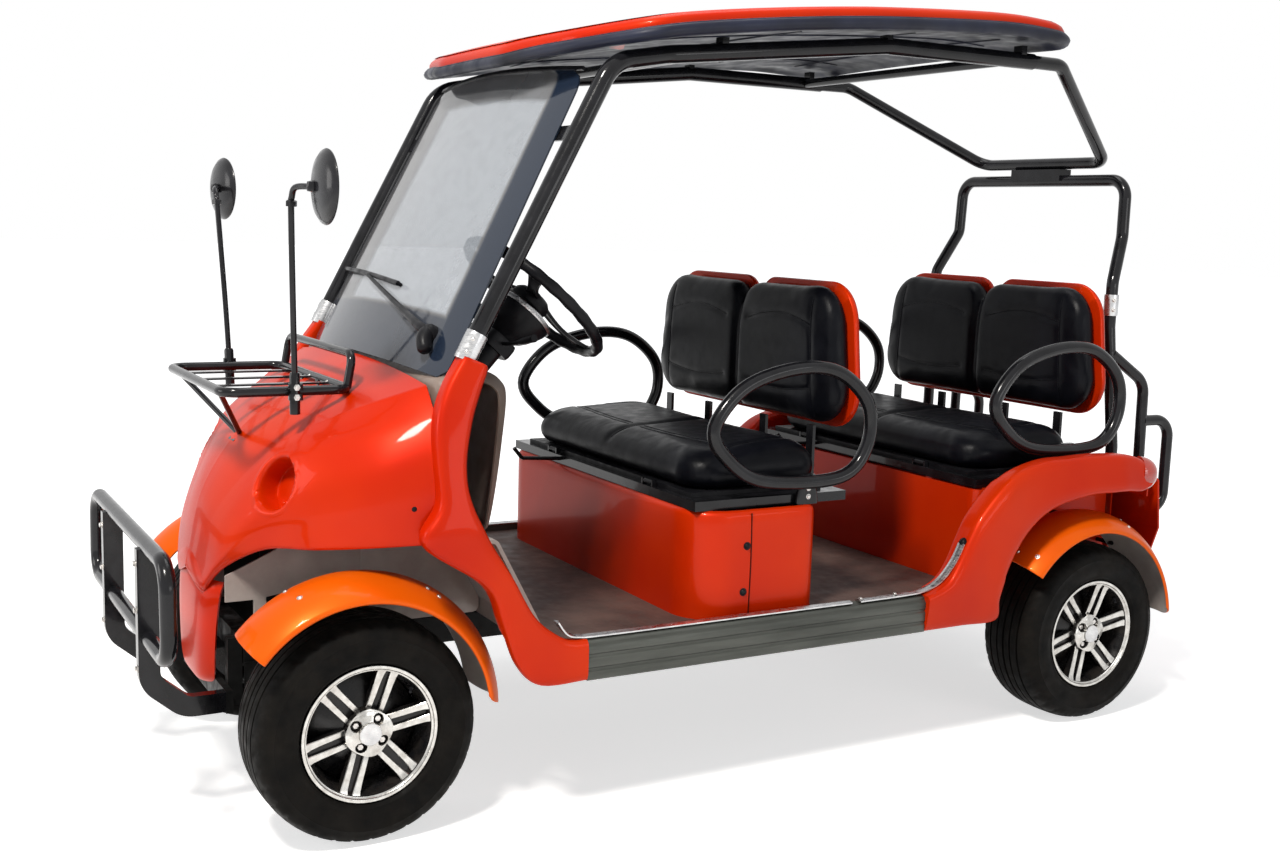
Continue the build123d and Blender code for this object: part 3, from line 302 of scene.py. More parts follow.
def spline(points, per=6, closed=False):
    """A smooth line through the points, per steps to each span."""
    p = np.asarray(points, float)
    n = len(p)
    out = []
    for i in range(n if closed else n - 1):
        a, b, c, d = (p[(i + k) % n] if closed else p[min(max(i + k, 0), n - 1)] for k in (-1, 0, 1, 2))
        for s in range(per):
            t = s / per
            out.append(0.5 * (2 * b + (c - a) * t + (2 * a - 5 * b + 4 * c - d) * t ** 2
                              + (3 * b - a - 3 * c + d) * t ** 3))
    if not closed:
        out.append(p[-1])
    return np.array(out)


def even(points, n):
    """n points at even steps round a closed polyline."""
    p = np.asarray(points, float)
    p = np.vstack([p, p[:1]])
    run = np.r_[0, np.cumsum(np.linalg.norm(np.diff(p, axis=0), axis=1))]
    at = np.linspace(0, run[-1], n + 1)[:-1]
    return np.stack([np.interp(at, run, p[:, k]) for k in range(p.shape[1])], axis=1)


def add_mod(obj, kind, **values):
    mod = obj.modifiers.new(kind.lower(), kind)
    for key, value in values.items():
        setattr(mod, key, value)
    return mod


def apply_mods(obj):
    graph = bpy.context.evaluated_depsgraph_get()
    mesh = bpy.data.meshes.new_from_object(obj.evaluated_get(graph))
    old = obj.data
    obj.modifiers.clear()
    obj.data = mesh
    bpy.data.meshes.remove(old)


def surface(name, grid, body, slot, thick=0.0, smooth=50, mats=None, uv=False, flip=False):
    """A sheet through a grid of points, thickened inward when asked."""
    rows, cols = len(grid), len(grid[0])
    faces = quads(rows, cols)
    if flip:
        faces = [f[::-1] for f in faces]
    uvs = None
    if uv:
        uvs = [(j / (cols - 1), i / (rows - 1)) for i in range(rows) for j in range(cols)]
    obj = new_mesh(name, grid, faces, body, slot, mats, smooth, uvs)
    if thick:
        add_mod(obj, "SOLIDIFY", thickness=thick, offset=-1, use_rim=True)
        apply_mods(obj)
        obj.data.set_sharp_from_angle(angle=math.radians(smooth))
    return obj


def loft(name, loops, body, slot, smooth=50):
    """A closed form through closed loops, with flat ends."""
    size = len(loops), len(loops[0])
    obj = new_mesh(name, loops, quads(*size, False, True) + end_caps(*size), body, slot, None, smooth)
    fix_normals(obj)
    return obj


@contextlib.contextmanager
def edited(obj):
    """The object's mesh as a bmesh, written back at the end."""
    bm = bmesh.new()
    bm.from_mesh(obj.data)
    yield bm
    bm.to_mesh(obj.data)
    bm.free()


def fix_normals(obj, weld=False):
    with edited(obj) as bm:
        if weld:
            bmesh.ops.remove_doubles(bm, verts=bm.verts, dist=1e-6)
        bmesh.ops.recalc_face_normals(bm, faces=bm.faces)


def pipe(name, points, radius, body, slot, closed=False, sides=14):
    """A round bar along a line of points."""
    p = np.asarray(points, float)
    n = len(p)
    if closed:
        tan = np.roll(p, -1, 0) - np.roll(p, 1, 0)
    else:
        tan = np.gradient(p, axis=0)
    tan /= np.linalg.norm(tan, axis=1)[:, None]
    ref = np.array([0, 0, 1.0]) if abs(tan[0][2]) < 0.9 else np.array([0, 1.0, 0])
    nrm = np.cross(tan[0], ref)
    nrm /= np.linalg.norm(nrm)
    loops = []
    for i in range(n):
        nrm = nrm - tan[i] * np.dot(nrm, tan[i])
        nrm /= np.linalg.norm(nrm)
        bit = np.cross(tan[i], nrm)
        r = radius[i] if np.ndim(radius) else radius
        loops.append([p[i] + r * (math.cos(a) * nrm + math.sin(a) * bit)
                      for a in np.linspace(0, 2 * math.pi, sides, endpoint=False)])
    faces = quads(n, sides, closed, True)
    if not closed:
        faces += end_caps(n, sides)
    obj = new_mesh(name, loops, faces, body, slot, None, 60)
    fix_normals(obj)
    return obj


def basis(normal, hint=(0, 0, 1)):
    w = Vector(normal).normalized()
    u = Vector(hint).cross(w)
    if u.length < 1e-4:
        u = Vector((1, 0, 0)).cross(w)
    u.normalize()
    return u, w.cross(u), w


def turned(name, profile, centre, axis, body, slot, sides=48, mats=None, index=None, smooth=40):
    """A turned form: the profile is (radius, height) along the axis."""
    u, v, w = basis(axis)
    centre = Vector(centre)
    verts = []
    for r, h in profile:
        for k in range(sides):
            a = 2 * math.pi * k / sides
            verts.append(centre + u * (r * math.cos(a)) + v * (r * math.sin(a)) + w * h)
    rows = len(profile)
    faces = quads(rows, sides, False, True)
    mi = [index[i] if index else 0 for i in range(rows - 1) for _ in range(sides)]
    for i, flip in ((0, True), (rows - 1, False)):
        if profile[i][0] > 1e-6:
            ring = [i * sides + j for j in range(sides)]
            faces.append(tuple(ring[::-1] if flip else ring))
            mi.append(index[min(i, rows - 2)] if index else 0)
    obj = new_mesh(name, verts, faces, body, slot, mats, smooth, None, mi)
    fix_normals(obj, weld=True)
    return obj


def join(name, objs):
    """Makes one object of several that ride on one body."""
    first = objs[0]
    bpy.ops.object.select_all(action="DESELECT")
    for o in objs:
        o.select_set(True)
    bpy.context.view_layer.objects.active = first
    bpy.ops.object.join()
    first.name = name
    first.data.name = name
    return first


def bolt(name, at, normal, s, slot="clamp_steel", mat="bolt", head="dome", body="chassis"):
    """A small fastener of shank radius s that stands on a surface."""
    if head == "dome":
        prof = [(s * 1.35, 0), (s * 1.35, s * 0.18), (s, s * 0.2), (s * 0.95, s * 0.45), (s * 0.7, s * 0.68),
                (s * 0.3, s * 0.8), (0, s * 0.82)]
        return turned(name, prof, at, normal, body, slot, 20, mats=(mat,))
    prof = [(s * 1.5, 0), (s * 1.5, s * 0.2), (s, s * 0.2), (s, s * 0.95), (s * 0.85, s * 1.05),
            (0, s * 1.05)]
    return turned(name, prof, at, normal, body, slot, 6, mats=(mat,), smooth=20)


def superloop(corners, power, n):
    """A rounded loop inside four corners given in order."""
    a, b, c, d = (np.asarray(q, float) for q in corners)
    out = []
    for k in range(n):
        t = 2 * math.pi * (k + 0.5) / n
        cs, sn = math.cos(t), math.sin(t)
        s = math.copysign(abs(cs) ** (2 / power), cs)
        r = math.copysign(abs(sn) ** (2 / power), sn)
        x, y = (s + 1) / 2, (r + 1) / 2
        out.append((1 - x) * (1 - y) * a + x * (1 - y) * b + x * y * c + (1 - x) * y * d)
    return out


for part in frame["record"]["subparts"]:
    for slot in NODES[part["node"]].material_slots:
        slot.material = MATS[part["material_slot"]]


# ---- hood
# stations as on the solid: x, crown z, crease y, crease z, belly y, belly z, edge y, edge z, bulge
HOOD = (
    (-0.845, 0.928, 0.420, 0.905, 0.512, 0.760, 0.512, 0.612, 0.010),
    (-0.960, 0.868, 0.330, 0.852, 0.470, 0.720, 0.462, 0.602, 0.026),
    (-1.060, 0.812, 0.235, 0.790, 0.385, 0.690, 0.385, 0.590, 0.030),
    (-1.130, 0.745, 0.170, 0.715, 0.285, 0.640, 0.280, 0.575, 0.018),
    (-1.190, 0.640, 0.110, 0.610, 0.190, 0.560, 0.180, 0.520, 0.006),
    (-1.216, 0.520, 0.080, 0.500, 0.120, 0.480, 0.110, 0.455, 0.0),
)
SKIN = 0.005
LAMP_SPOTS = {name: ((-1.098, side * 0.276, 0.700), (-0.86, side * 0.40, 0.34)) for name, side in SIDES}
LAMP_DEPTH = 0.044
LAMP_REACH = 0.084
LIP_R, LIP_WIDTH, LIP_HEIGHT = 0.0615, 0.003, 0.0025
HOOD_ROWS, HOOD_PER = 12, 6


def hood_half(row):
    """One side of a station, from the crown to the rolled lower edge."""
    x, crown, cy, cz, by, bz, ey, ez, bulge = row
    mid_y, mid_z = (cy + by) / 2, (cz + bz) / 2
    run = math.hypot(by - cy, cz - bz)
    out_y, out_z = (cz - bz) / run, (by - cy) / run
    drop = crown - cz
    pts = [(0.0, crown), (cy * 0.35, crown - drop * 0.16), (cy * 0.7, crown - drop * 0.52), (cy, cz),
           (cy + (by - cy) * 0.22 + out_y * bulge * 0.6, cz + (bz - cz) * 0.22 + out_z * bulge * 0.6),
           (mid_y + out_y * bulge, mid_z + out_z * bulge),
           (by + (mid_y - by) * 0.3 + out_y * bulge * 0.5, bz + (mid_z - bz) * 0.3 + out_z * bulge * 0.5),
           (by, bz - (bz - ez) * 0.25), (ey + (by - ey) * 0.5, ez + (bz - ez) * 0.35), (ey, ez + 0.006),
           (ey - 0.004, ez), (ey - 0.012, ez + 0.001)]
    return np.array([(x, y, z) for y, z in pts])


def hood_grid():
    rows = np.array([hood_half(r) for r in HOOD])
    fine = np.array([spline(rows[:, j], HOOD_ROWS) for j in range(rows.shape[1])]).transpose(1, 0, 2)
    out = []
    for section in fine:
        flat = spline(section[:4], HOOD_PER)
        rest = spline(section[3:], HOOD_PER)
        half = np.vstack([flat[:-1], rest])
        mirror = half[::-1] * (1, -1, 1)
        out.append(np.vstack([mirror[:-1], half]))
    return np.array(out)


def quad_fit(rho, h):
    """A smooth height over a small patch of surface."""
    a, b = rho[:, 0], rho[:, 1]
    terms = np.stack([np.ones(len(a)), a, b, a * a, a * b, b * b], axis=1)
    return np.linalg.lstsq(terms, h, rcond=None)[0]


def quad_at(fit, rho):
    a, b = rho[:, 0], rho[:, 1]
    return np.stack([np.ones(len(a)), a, b, a * a, a * b, b * b], axis=1) @ fit


def sink_lamp(grid, centre, axis):
    """Pushes a round recess with a rolled lip into a grid of points."""
    u, v, w = (np.array(k) for k in basis(axis))
    flat = grid.reshape(-1, 3)
    rel = flat - np.array(centre)
    h = rel @ w
    rho = np.stack([rel @ u, rel @ v], axis=1)
    d = np.linalg.norm(rho, axis=1)
    near = (d < LAMP_REACH) & (np.abs(h) < 0.07)
    fit = quad_fit(rho[near], h[near])
    # profile: share of the way out, radius, depth share
    prof = np.array([(0, 0, 1), (0.40, 0.050, 1), (0.46, 0.0545, 0.97), (0.50, 0.0562, 0.85),
                     (0.70, 0.0578, 0.12), (0.75, 0.0592, 0.03), (0.80, 0.062, 0.0), (1.0, LAMP_REACH, 0.0)])
    t = d[near] / LAMP_REACH
    r = np.interp(t, prof[:, 0], prof[:, 1])
    deep = np.interp(t, prof[:, 0], prof[:, 2])
    way = rho[near] / np.maximum(d[near], 1e-9)[:, None]
    new = way * r[:, None]
    top = h[near] + quad_at(fit, new) - quad_at(fit, rho[near])
    lift = LIP_HEIGHT * np.exp(-((r - LIP_R) / LIP_WIDTH) ** 2)
    level = (1 - deep) * (top + lift) + deep * -LAMP_DEPTH
    flat[near] = np.array(centre) + new[:, :1] * u + new[:, 1:] * v + level[:, None] * w


def make_hood():
    grid = hood_grid()
    # the seam follows the crease, which is the fourth point of each half
    seam_col = grid.shape[1] // 2 + 3 * HOOD_PER
    seam = grid[:, seam_col].copy()
    front = grid[-1]
    middle = np.array([front[:, 0].mean() - 0.004, 0, 0.485])
    caps = [front * (1 - k) + middle * k + np.array([-0.004 * s, 0, 0])
            for k, s in ((0.25, 0.8), (0.7, 1.0), (0.97, 1.0))]
    grid = np.vstack([grid, np.array(caps)])
    fine = np.array([spline(grid[:, j], 2) for j in range(grid.shape[1])]).transpose(1, 0, 2)
    fine = np.array([spline(line, 2) for line in fine])
    for centre, axis in LAMP_SPOTS.values():
        sink_lamp(fine, centre, axis)
    hood = surface("hood", fine, "chassis", "body_orange", thick=SKIN, smooth=60, flip=True)
    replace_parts(hood, "cowl")
    return seam


# a seam is drawn as a thin proud line of painted shade
def seam_line(name, points, radius=0.0018):
    obj = pipe(name, spline(points, 5), radius, "chassis", "body_orange", sides=6)
    obj.data.materials[0] = MATS["seam_painted_shade"]


def on_hood(points, lift=0.0006):
    """Drops rough points onto the hood's surface along its normal."""
    hood = bpy.data.objects["hood"]
    out = []
    for p in points:
        _, spot, normal, _ = hood.closest_point_on_mesh(Vector(p))
        out.append(np.array(spot + normal * lift))
    return np.array(out)


SEAM_FRONT, SEAM_REAR = -1.203, -0.852
seam = make_hood()
keep = [p for p in seam if SEAM_FRONT < p[0] < SEAM_REAR]
# the shield seams and the nose smile are lines of painted shade
for name, side in SIDES:
    line = [(x, side * abs(y), z) for x, y, z in keep]
    low = [(-1.205, side * 0.088, 0.566), (-1.206, side * 0.05, 0.569), (-1.204, side * 0.0, 0.578)]
    seam_line(f"shield_seam_{name}", np.vstack([on_hood(line[::6]), on_hood(low)]))
smile = on_hood([(-1.212, y, 0.512 + 0.042 * math.cos(y / 0.128 * math.pi / 2))
                 for y in np.linspace(-0.125, 0.125, 15)])
seam_line("nose_smile", smile, 0.0026)

PLUG = (-0.898, 0.491, 0.679)
for name, side in SIDES:
    at = on_hood([(PLUG[0], side * PLUG[1], PLUG[2])], 0.0)[0]
    bolt(f"hood_plug_{name}", at, (-0.36, side * 0.93, -0.03), 0.0075, "plastic_black", "plastic_black")

    # empty lamp socket at the bottom of each recess
    centre, axis = LAMP_SPOTS[name]
    u, v, w = (np.array(k) for k in basis(axis))
    base = np.array(centre) - LAMP_DEPTH * w + u * (0.020 * -side) + v * 0.006
    socket = [(0.017, 0), (0.017, 0.004), (0.012, 0.006), (0.012, 0.015), (0.009, 0.015), (0.009, 0.006),
              (0, 0.006)]
    turned(f"lamp_socket_{name}", socket, base, axis, "chassis", "plastic_black", 24, mats=("bolt",))
    wires = []
    for k, bend in enumerate((-0.010, 0.004, 0.014)):
        pts = [base + w * 0.006, base + w * 0.02 + v * bend,
               base + w * 0.024 + v * bend * 2 - u * side * 0.012,
               base + w * 0.006 + v * bend * 3 - u * side * 0.024,
               base - w * 0.002 + v * bend * 3.2 - u * side * 0.028]
        wires.append(pipe(f"lamp_wire_{name}_{k}", spline(pts, 5), 0.0017, "chassis", "plastic_black",
                          sides=6))
    join(f"lamp_wires_{name}", wires)


# ---- nose skirt
def make_skirt():
    # x, half width, z from top to bottom
    rows = ((-1.213, 0.148, 0.478), (-1.222, 0.150, 0.452), (-1.2265, 0.140, 0.40), (-1.228, 0.126, 0.33),
            (-1.226, 0.112, 0.268), (-1.220, 0.085, 0.246), (-1.213, 0.060, 0.240))
    line = spline(rows, 5)
    grid = []
    for x, half, z in line:
        around = [(x + 0.026 * abs(s) ** 6 + 0.004 * s * s, s * half, z + 0.006 * (1 - s * s))
                  for s in np.linspace(-1, 1, 33)]
        grid.append(around)
    skirt = surface("skirt", grid, "chassis", "body_orange", thick=0.006, smooth=50)
    fix_normals(skirt)
    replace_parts(skirt, "nose_skirt")


make_skirt()


# ---- pillars and quarters
# front and rear edge in the side view: (x, z), (x, z)
PILLAR = (
    ((-0.800, 0.975), (-0.752, 0.955)), ((-0.806, 0.965), (-0.748, 0.945)),
    ((-0.840, 0.912), (-0.765, 0.905)), ((-0.862, 0.850), (-0.786, 0.850)),
    ((-0.866, 0.770), (-0.804, 0.770)), ((-0.866, 0.690), (-0.800, 0.700)),
    ((-0.900, 0.615), (-0.765, 0.620)), ((-0.772, 0.522), (-0.715, 0.540)),
    ((-0.735, 0.440), (-0.662, 0.450)), ((-0.700, 0.352), (-0.604, 0.402)),
    ((-0.648, 0.306), (-0.572, 0.392)), ((-0.5453, 0.3045), (-0.5453, 0.3915)),
)
QUARTER = (
    ((0.3504, 0.3045), (0.3504, 0.3915)), ((0.470, 0.3045), (0.408, 0.418)), ((0.578, 0.306), (0.440, 0.460)),
    ((0.582, 0.360), (0.470, 0.520)), ((0.605, 0.440), (0.505, 0.577)), ((0.660, 0.520), (0.590, 0.655)),
    ((0.740, 0.572), (0.700, 0.690)), ((0.860, 0.596), (0.800, 0.695)), ((0.940, 0.598), (0.900, 0.697)),
    ((1.000, 0.598), (1.010, 0.690)), ((1.050, 0.594), (1.068, 0.668)), ((1.078, 0.604), (1.090, 0.640)),
)


def pillar_span(z, _):
    """Inner and outer y of the pillar at a height."""
    up = min(max((z - 0.64) / 0.33, 0), 1)
    outer = 0.566 - 0.066 * up
    inner = 0.514 - 0.064 * up
    if z < 0.42:
        inner = 0.530
    return inner, outer


def quarter_span(z, x):
    outer = np.interp(z, (0.30, 0.42, 0.64, 0.705), (0.566, 0.581, 0.581, 0.562))
    inner = 0.531 if z < 0.40 else 0.502 if z < 0.645 else 0.5105
    if x > 0.98:
        outer -= (x - 0.98) * 0.12
    return inner, float(outer)


def strip(name, table, span, side, power):
    """A panel round the door opening, between its front and rear edge."""
    first = spline([a for a, _ in table])
    last = spline([b for _, b in table])
    loops = []
    for (xa, za), (xb, zb) in zip(first, last):
        ia, oa = span(za, xa)
        ib, ob = span(zb, xb)
        corners = [(xa, side * ia, za), (xa, side * oa, za), (xb, side * ob, zb), (xb, side * ib, zb)]
        loops.append(superloop(corners, power, 40))
    return loft(name, loops, "chassis", "body_orange", smooth=40)


for panel, table, span, power, node in (("pillar", PILLAR, pillar_span, 4.2, "pillars"),
                                        ("quarter", QUARTER, quarter_span, 4.6, "rear_quarters")):
    for name, side in SIDES:
        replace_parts(strip(f"{panel}_{name}", table, span, side, power), node)


# ---- tail lamps
for name, side in SIDES:
    axis = (0.93, side * 0.30, -0.08)
    u, v, w = (np.array(k) for k in basis(axis))
    centre = np.array((1.062, side * 0.534, 0.637))
    loops = []
    for t in np.linspace(0, 0.985, 14):
        a = t * math.pi / 2
        grow, out = math.cos(a) ** 0.7, math.sin(a) * 0.050
        loops.append([centre + w * out + u * (0.036 * grow * math.cos(b)) + v * (0.045 * grow * math.sin(b))
                      for b in np.linspace(0, 2 * math.pi, 36, endpoint=False)])
    lamp = loft(f"tail_lamp_{name}", loops, "chassis", "lamp_red")
    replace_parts(lamp, "tail_lamps")


# ---- fenders
# the guard stands round a point FENDER_DROP ahead of and above the axle
FRONT_AXLE_X, REAR_AXLE_X = -0.980, 0.920
WHEEL_R, FENDER_DROP, CROWN_R = 0.2295, 0.012, 0.302
FENDER_LOW, FENDER_SPAN, ROD_REACH = 2, 140, 0.275


def three_point(a, b, c, n):
    """Points on the arc through three points of a plane."""
    (ax, ay), (bx, by), (cx, cy) = a, b, c
    d = 2 * (ax * (by - cy) + bx * (cy - ay) + cx * (ay - by))
    ux = ((ax ** 2 + ay ** 2) * (by - cy) + (bx ** 2 + by ** 2) * (cy - ay)
          + (cx ** 2 + cy ** 2) * (ay - by)) / d
    uy = ((ax ** 2 + ay ** 2) * (cx - bx) + (bx ** 2 + by ** 2) * (ax - cx)
          + (cx ** 2 + cy ** 2) * (bx - ax)) / d
    r = math.hypot(ax - ux, ay - uy)
    t0, t2 = math.atan2(ay - uy, ax - ux), math.atan2(cy - uy, cx - ux)
    return [(ux + r * math.cos(t0 + (t2 - t0) * k / (n - 1)),
             uy + r * math.sin(t0 + (t2 - t0) * k / (n - 1))) for k in range(n)]


def guard(name, axle_x, side, inner_y, outer_y, body, node):
    mid = (inner_y + outer_y) / 2
    arc = three_point((inner_y, CROWN_R - 0.030), (mid, CROWN_R), (outer_y, CROWN_R - 0.038), 29)
    arc += [(outer_y + 0.0004, CROWN_R - 0.043), (outer_y - 0.003, CROWN_R - 0.046)]
    cx, cz = axle_x - FENDER_DROP, WHEEL_R + FENDER_DROP
    grid = []
    steps = 84
    for k in range(steps + 1):
        t = k / steps
        row = []
        for j, (y, r) in enumerate(arc):
            across = j / (len(arc) - 1)
            # the front edge slants, the rear end narrows to a rounded tip
            trim = 3.0 * (1 - across) if t > 0.5 else 0.0
            round_end = 9.0 * max(0, abs(across - 0.45) * 2 - 0.35) ** 2
            a_low = FENDER_LOW + round_end * 1.3
            a_high = FENDER_LOW + FENDER_SPAN - trim - 2.5 * max(0, abs(across - 0.5) * 2 - 0.6) ** 2
            a = math.radians(a_low + (a_high - a_low) * t)
            row.append((cx + r * math.cos(a), side * y, cz + r * math.sin(a)))
        grid.append(row)
    # the outer face takes the lighter copy of the body paint, which is painted light
    obj = surface(name, grid, body, "body_orange", smooth=60, flip=side < 0,
                  mats=("lit_fender_orange", "inner_panel"))
    add_mod(obj, "SOLIDIFY", thickness=0.005, offset=-1, use_rim=True, material_offset=1,
            material_offset_rim=0)
    add_mod(obj, "BEVEL", width=0.0018, segments=2, limit_method="ANGLE", angle_limit=math.radians(50))
    apply_mods(obj)
    obj.data.set_sharp_from_angle(angle=math.radians(60))
    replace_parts(obj, node)
    return obj


FENDER_SCREWS = {  # angle in degrees, y
    "front": ((114, 0.453), (116, 0.392), (62, 0.450), (57, 0.463)),
    "rear": ((133, 0.557), (135, 0.500), (66, 0.560), (62, 0.500)),
}
for name, side in SIDES:
    for end, axle_x, inner, outer in (("front", FRONT_AXLE_X, 0.334, 0.506),
                                      ("rear", REAR_AXLE_X, 0.406, 0.580)):
        body = f"steer_{name}" if end == "front" else "chassis"
        node = f"front_fender_{name}" if end == "front" else "rear_fenders"
        shell = guard(f"fender_{end}_{name}", axle_x, side, inner, outer, body, node)
        bolts = []
        for k, (deg, y) in enumerate(FENDER_SCREWS[end]):
            a = math.radians(deg)
            rough = Vector((axle_x - FENDER_DROP + 0.3 * math.cos(a), side * y,
                            WHEEL_R + FENDER_DROP + 0.3 * math.sin(a)))
            _, spot, normal, _ = shell.closest_point_on_mesh(rough)
            bolts.append(bolt(f"fs_{end}_{name}_{k}", spot - normal * 0.0004, normal, 0.0045, body=body))
        join(f"fender_screws_{end}_{name}", bolts)
    rods = []
    for k, deg in enumerate((42, 85, 122)):
        a = math.radians(deg)
        x = REAR_AXLE_X - FENDER_DROP + ROD_REACH * math.cos(a)
        z = WHEEL_R + FENDER_DROP + ROD_REACH * math.sin(a)
        rod = [(x, side * y, z) for y in (0.3705, 0.40, 0.424)]
        rods.append(pipe(f"fr_{name}_{k}", rod, 0.006, "chassis", "chassis_black", sides=12))
    join(f"fender_rods_{name}", rods)


# ---- wheels
# half section of the tyre from the bead to the tread: radius, distance from the middle plane
TYRE = (
    (0.1272, 0.0700), (0.1400, 0.0706), (0.1432, 0.0800), (0.1480, 0.0850), (0.1495, 0.0862),
    (0.1515, 0.0860), (0.1580, 0.0890), (0.1680, 0.0908), (0.1820, 0.0910), (0.1930, 0.0898),
    (0.1945, 0.0905), (0.1965, 0.0893), (0.2050, 0.0865), (0.2120, 0.0825), (0.2165, 0.0785),
    (0.2195, 0.0745), (0.2222, 0.0690), (0.2242, 0.0630), (0.2258, 0.0570), (0.2268, 0.0515),
    (0.2272, 0.0490), (0.2222, 0.0482), (0.2222, 0.0442), (0.2278, 0.0434), (0.2285, 0.0360),
    (0.2289, 0.0262), (0.2289, 0.0245), (0.2235, 0.0238), (0.2235, 0.0202), (0.2291, 0.0195),
    (0.2294, 0.0100), (0.2295, 0.0035), (0.2240, 0.0030),
)
TYRE_SEGS, NOTCHES = 216, 36
NOTCH_SLANT, NOTCH_SHARE, NOTCH_DEPTH = 14.0, 0.17, 0.0032


def make_tyre(name, centre, side, body, node):
    inside = [(0.132, -0.060), (0.205, -0.060), (0.205, 0.060), (0.132, 0.060)]
    prof = np.array([*TYRE, *((r, -h) for r, h in reversed(TYRE)), *inside])
    n = len(prof)
    r, h = prof[:, 0], prof[:, 1]
    verts = []
    for k in range(TYRE_SEGS):
        a = 2 * math.pi * k / TYRE_SEGS
        # slanted notches run over both shoulders
        turn = (k * NOTCHES / TYRE_SEGS + np.abs(h) * NOTCH_SLANT) % 1.0
        shoulder = (np.abs(h) > 0.052) & (np.abs(h) < 0.082) & (r > 0.207)
        cut = np.where(shoulder & (turn < NOTCH_SHARE), NOTCH_DEPTH, 0.0)
        rad = r - cut
        verts.append(np.stack([centre[0] + rad * math.cos(a), centre[1] + side * h,
                               centre[2] + rad * math.sin(a)], axis=1))
    grid = np.array(verts)
    obj = new_mesh(name, grid, quads(TYRE_SEGS, n, True, True), body, "tyre", None, 38)
    fix_normals(obj)
    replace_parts(obj, node)
    return obj


def wheel_frame(centre, side):
    """Radial, tangential and outward axes of a wheel."""
    return np.array(centre), np.array((1.0, 0, 0)), np.array((0, 0, 1.0)), np.array((0, float(side), 0))


def wheel_point(fr, r, a, h):
    c, u, v, w = fr
    return c + r * math.cos(a) * u + r * math.sin(a) * v + h * w


def spoke_bar(name, fr, a, offset, body):
    """One straight bar of a double spoke, bright on its face and black on its sides."""
    c, u, v, w = fr
    radial = math.cos(a) * u + math.sin(a) * v
    across = -math.sin(a) * u + math.cos(a) * v
    verts = []
    stations = ((0.036, 0.0560, 0.0052), (0.050, 0.0610, 0.0058), (0.075, 0.0640, 0.0064),
                (0.100, 0.0665, 0.0068), (0.118, 0.0690, 0.0078), (0.1285, 0.0730, 0.0095))
    sec = ((-1.0, -0.020), (-1.0, -0.0016), (-0.8, 0.0), (0.8, 0.0), (1.0, -0.0016), (1.0, -0.020))
    for r, h, half in stations:
        for s, d in sec:
            verts.append(c + radial * r + across * (offset + s * half) + w * (h + d))
    rows, cols = len(stations), len(sec)
    faces = quads(rows, cols, False, True) + [tuple(range(cols)), end_caps(rows, cols)[1]]
    mi = [0 if j in (1, 2, 3) else 1 for _ in range(rows - 1) for j in range(cols)] + [1, 1]
    obj = new_mesh(name, verts, faces, body, "rim_alloy", ("rim_alloy", "rim_black"), 30, None, mi)
    fix_normals(obj)
    return obj


LUG_R, LUG_POCKET, LUG_DEPTH, LUG_SLOPE = 0.0325, 0.0112, 0.014, 0.0018
PETAL_SWELL = 0.0016


def hub_cap(name, fr, body, turn):
    """The bright centre with four nut pockets and a plain disc."""
    radii = np.concatenate([np.linspace(0.0, 0.0225, 5), [0.0232, 0.0240], np.linspace(0.0255, 0.0475, 23),
                            [0.0480, 0.0480]])
    height = np.concatenate([np.full(5, 0.0800), [0.0798, 0.0775], np.linspace(0.0770, 0.0700, 23),
                             [0.0670, 0.0480]])
    segs = 144
    verts = []
    deep = np.zeros((len(radii), segs))
    for i, (r, h) in enumerate(zip(radii, height)):
        for k in range(segs):
            a = 2 * math.pi * k / segs
            near = min(math.hypot(r * math.cos(a - b) - LUG_R, r * math.sin(a - b))
                       for b in [turn + q * math.pi / 2 for q in range(4)])
            drop = LUG_DEPTH * min(max((LUG_POCKET - near) / LUG_SLOPE, 0), 1) if r < 0.0478 else 0.0
            # petals swell between the pockets
            swell = PETAL_SWELL * math.cos(4 * (a - turn) + math.pi) * min(1, max(0, (r - 0.026) / 0.012))
            rr = r + (swell if r > 0.044 else 0)
            deep[i, k] = drop
            verts.append(wheel_point(fr, rr, a, h - drop + (swell if drop == 0 else 0)))
    rows = len(radii)
    mi = [1 if deep[i, k] > 0.004 or i >= rows - 2 else 0 for i in range(rows - 1) for k in range(segs)]
    obj = new_mesh(name, verts, quads(rows, segs, False, True), body, "rim_alloy", ("rim_alloy", "rim_black"),
                   32, None, mi)
    fix_normals(obj, weld=True)
    return obj


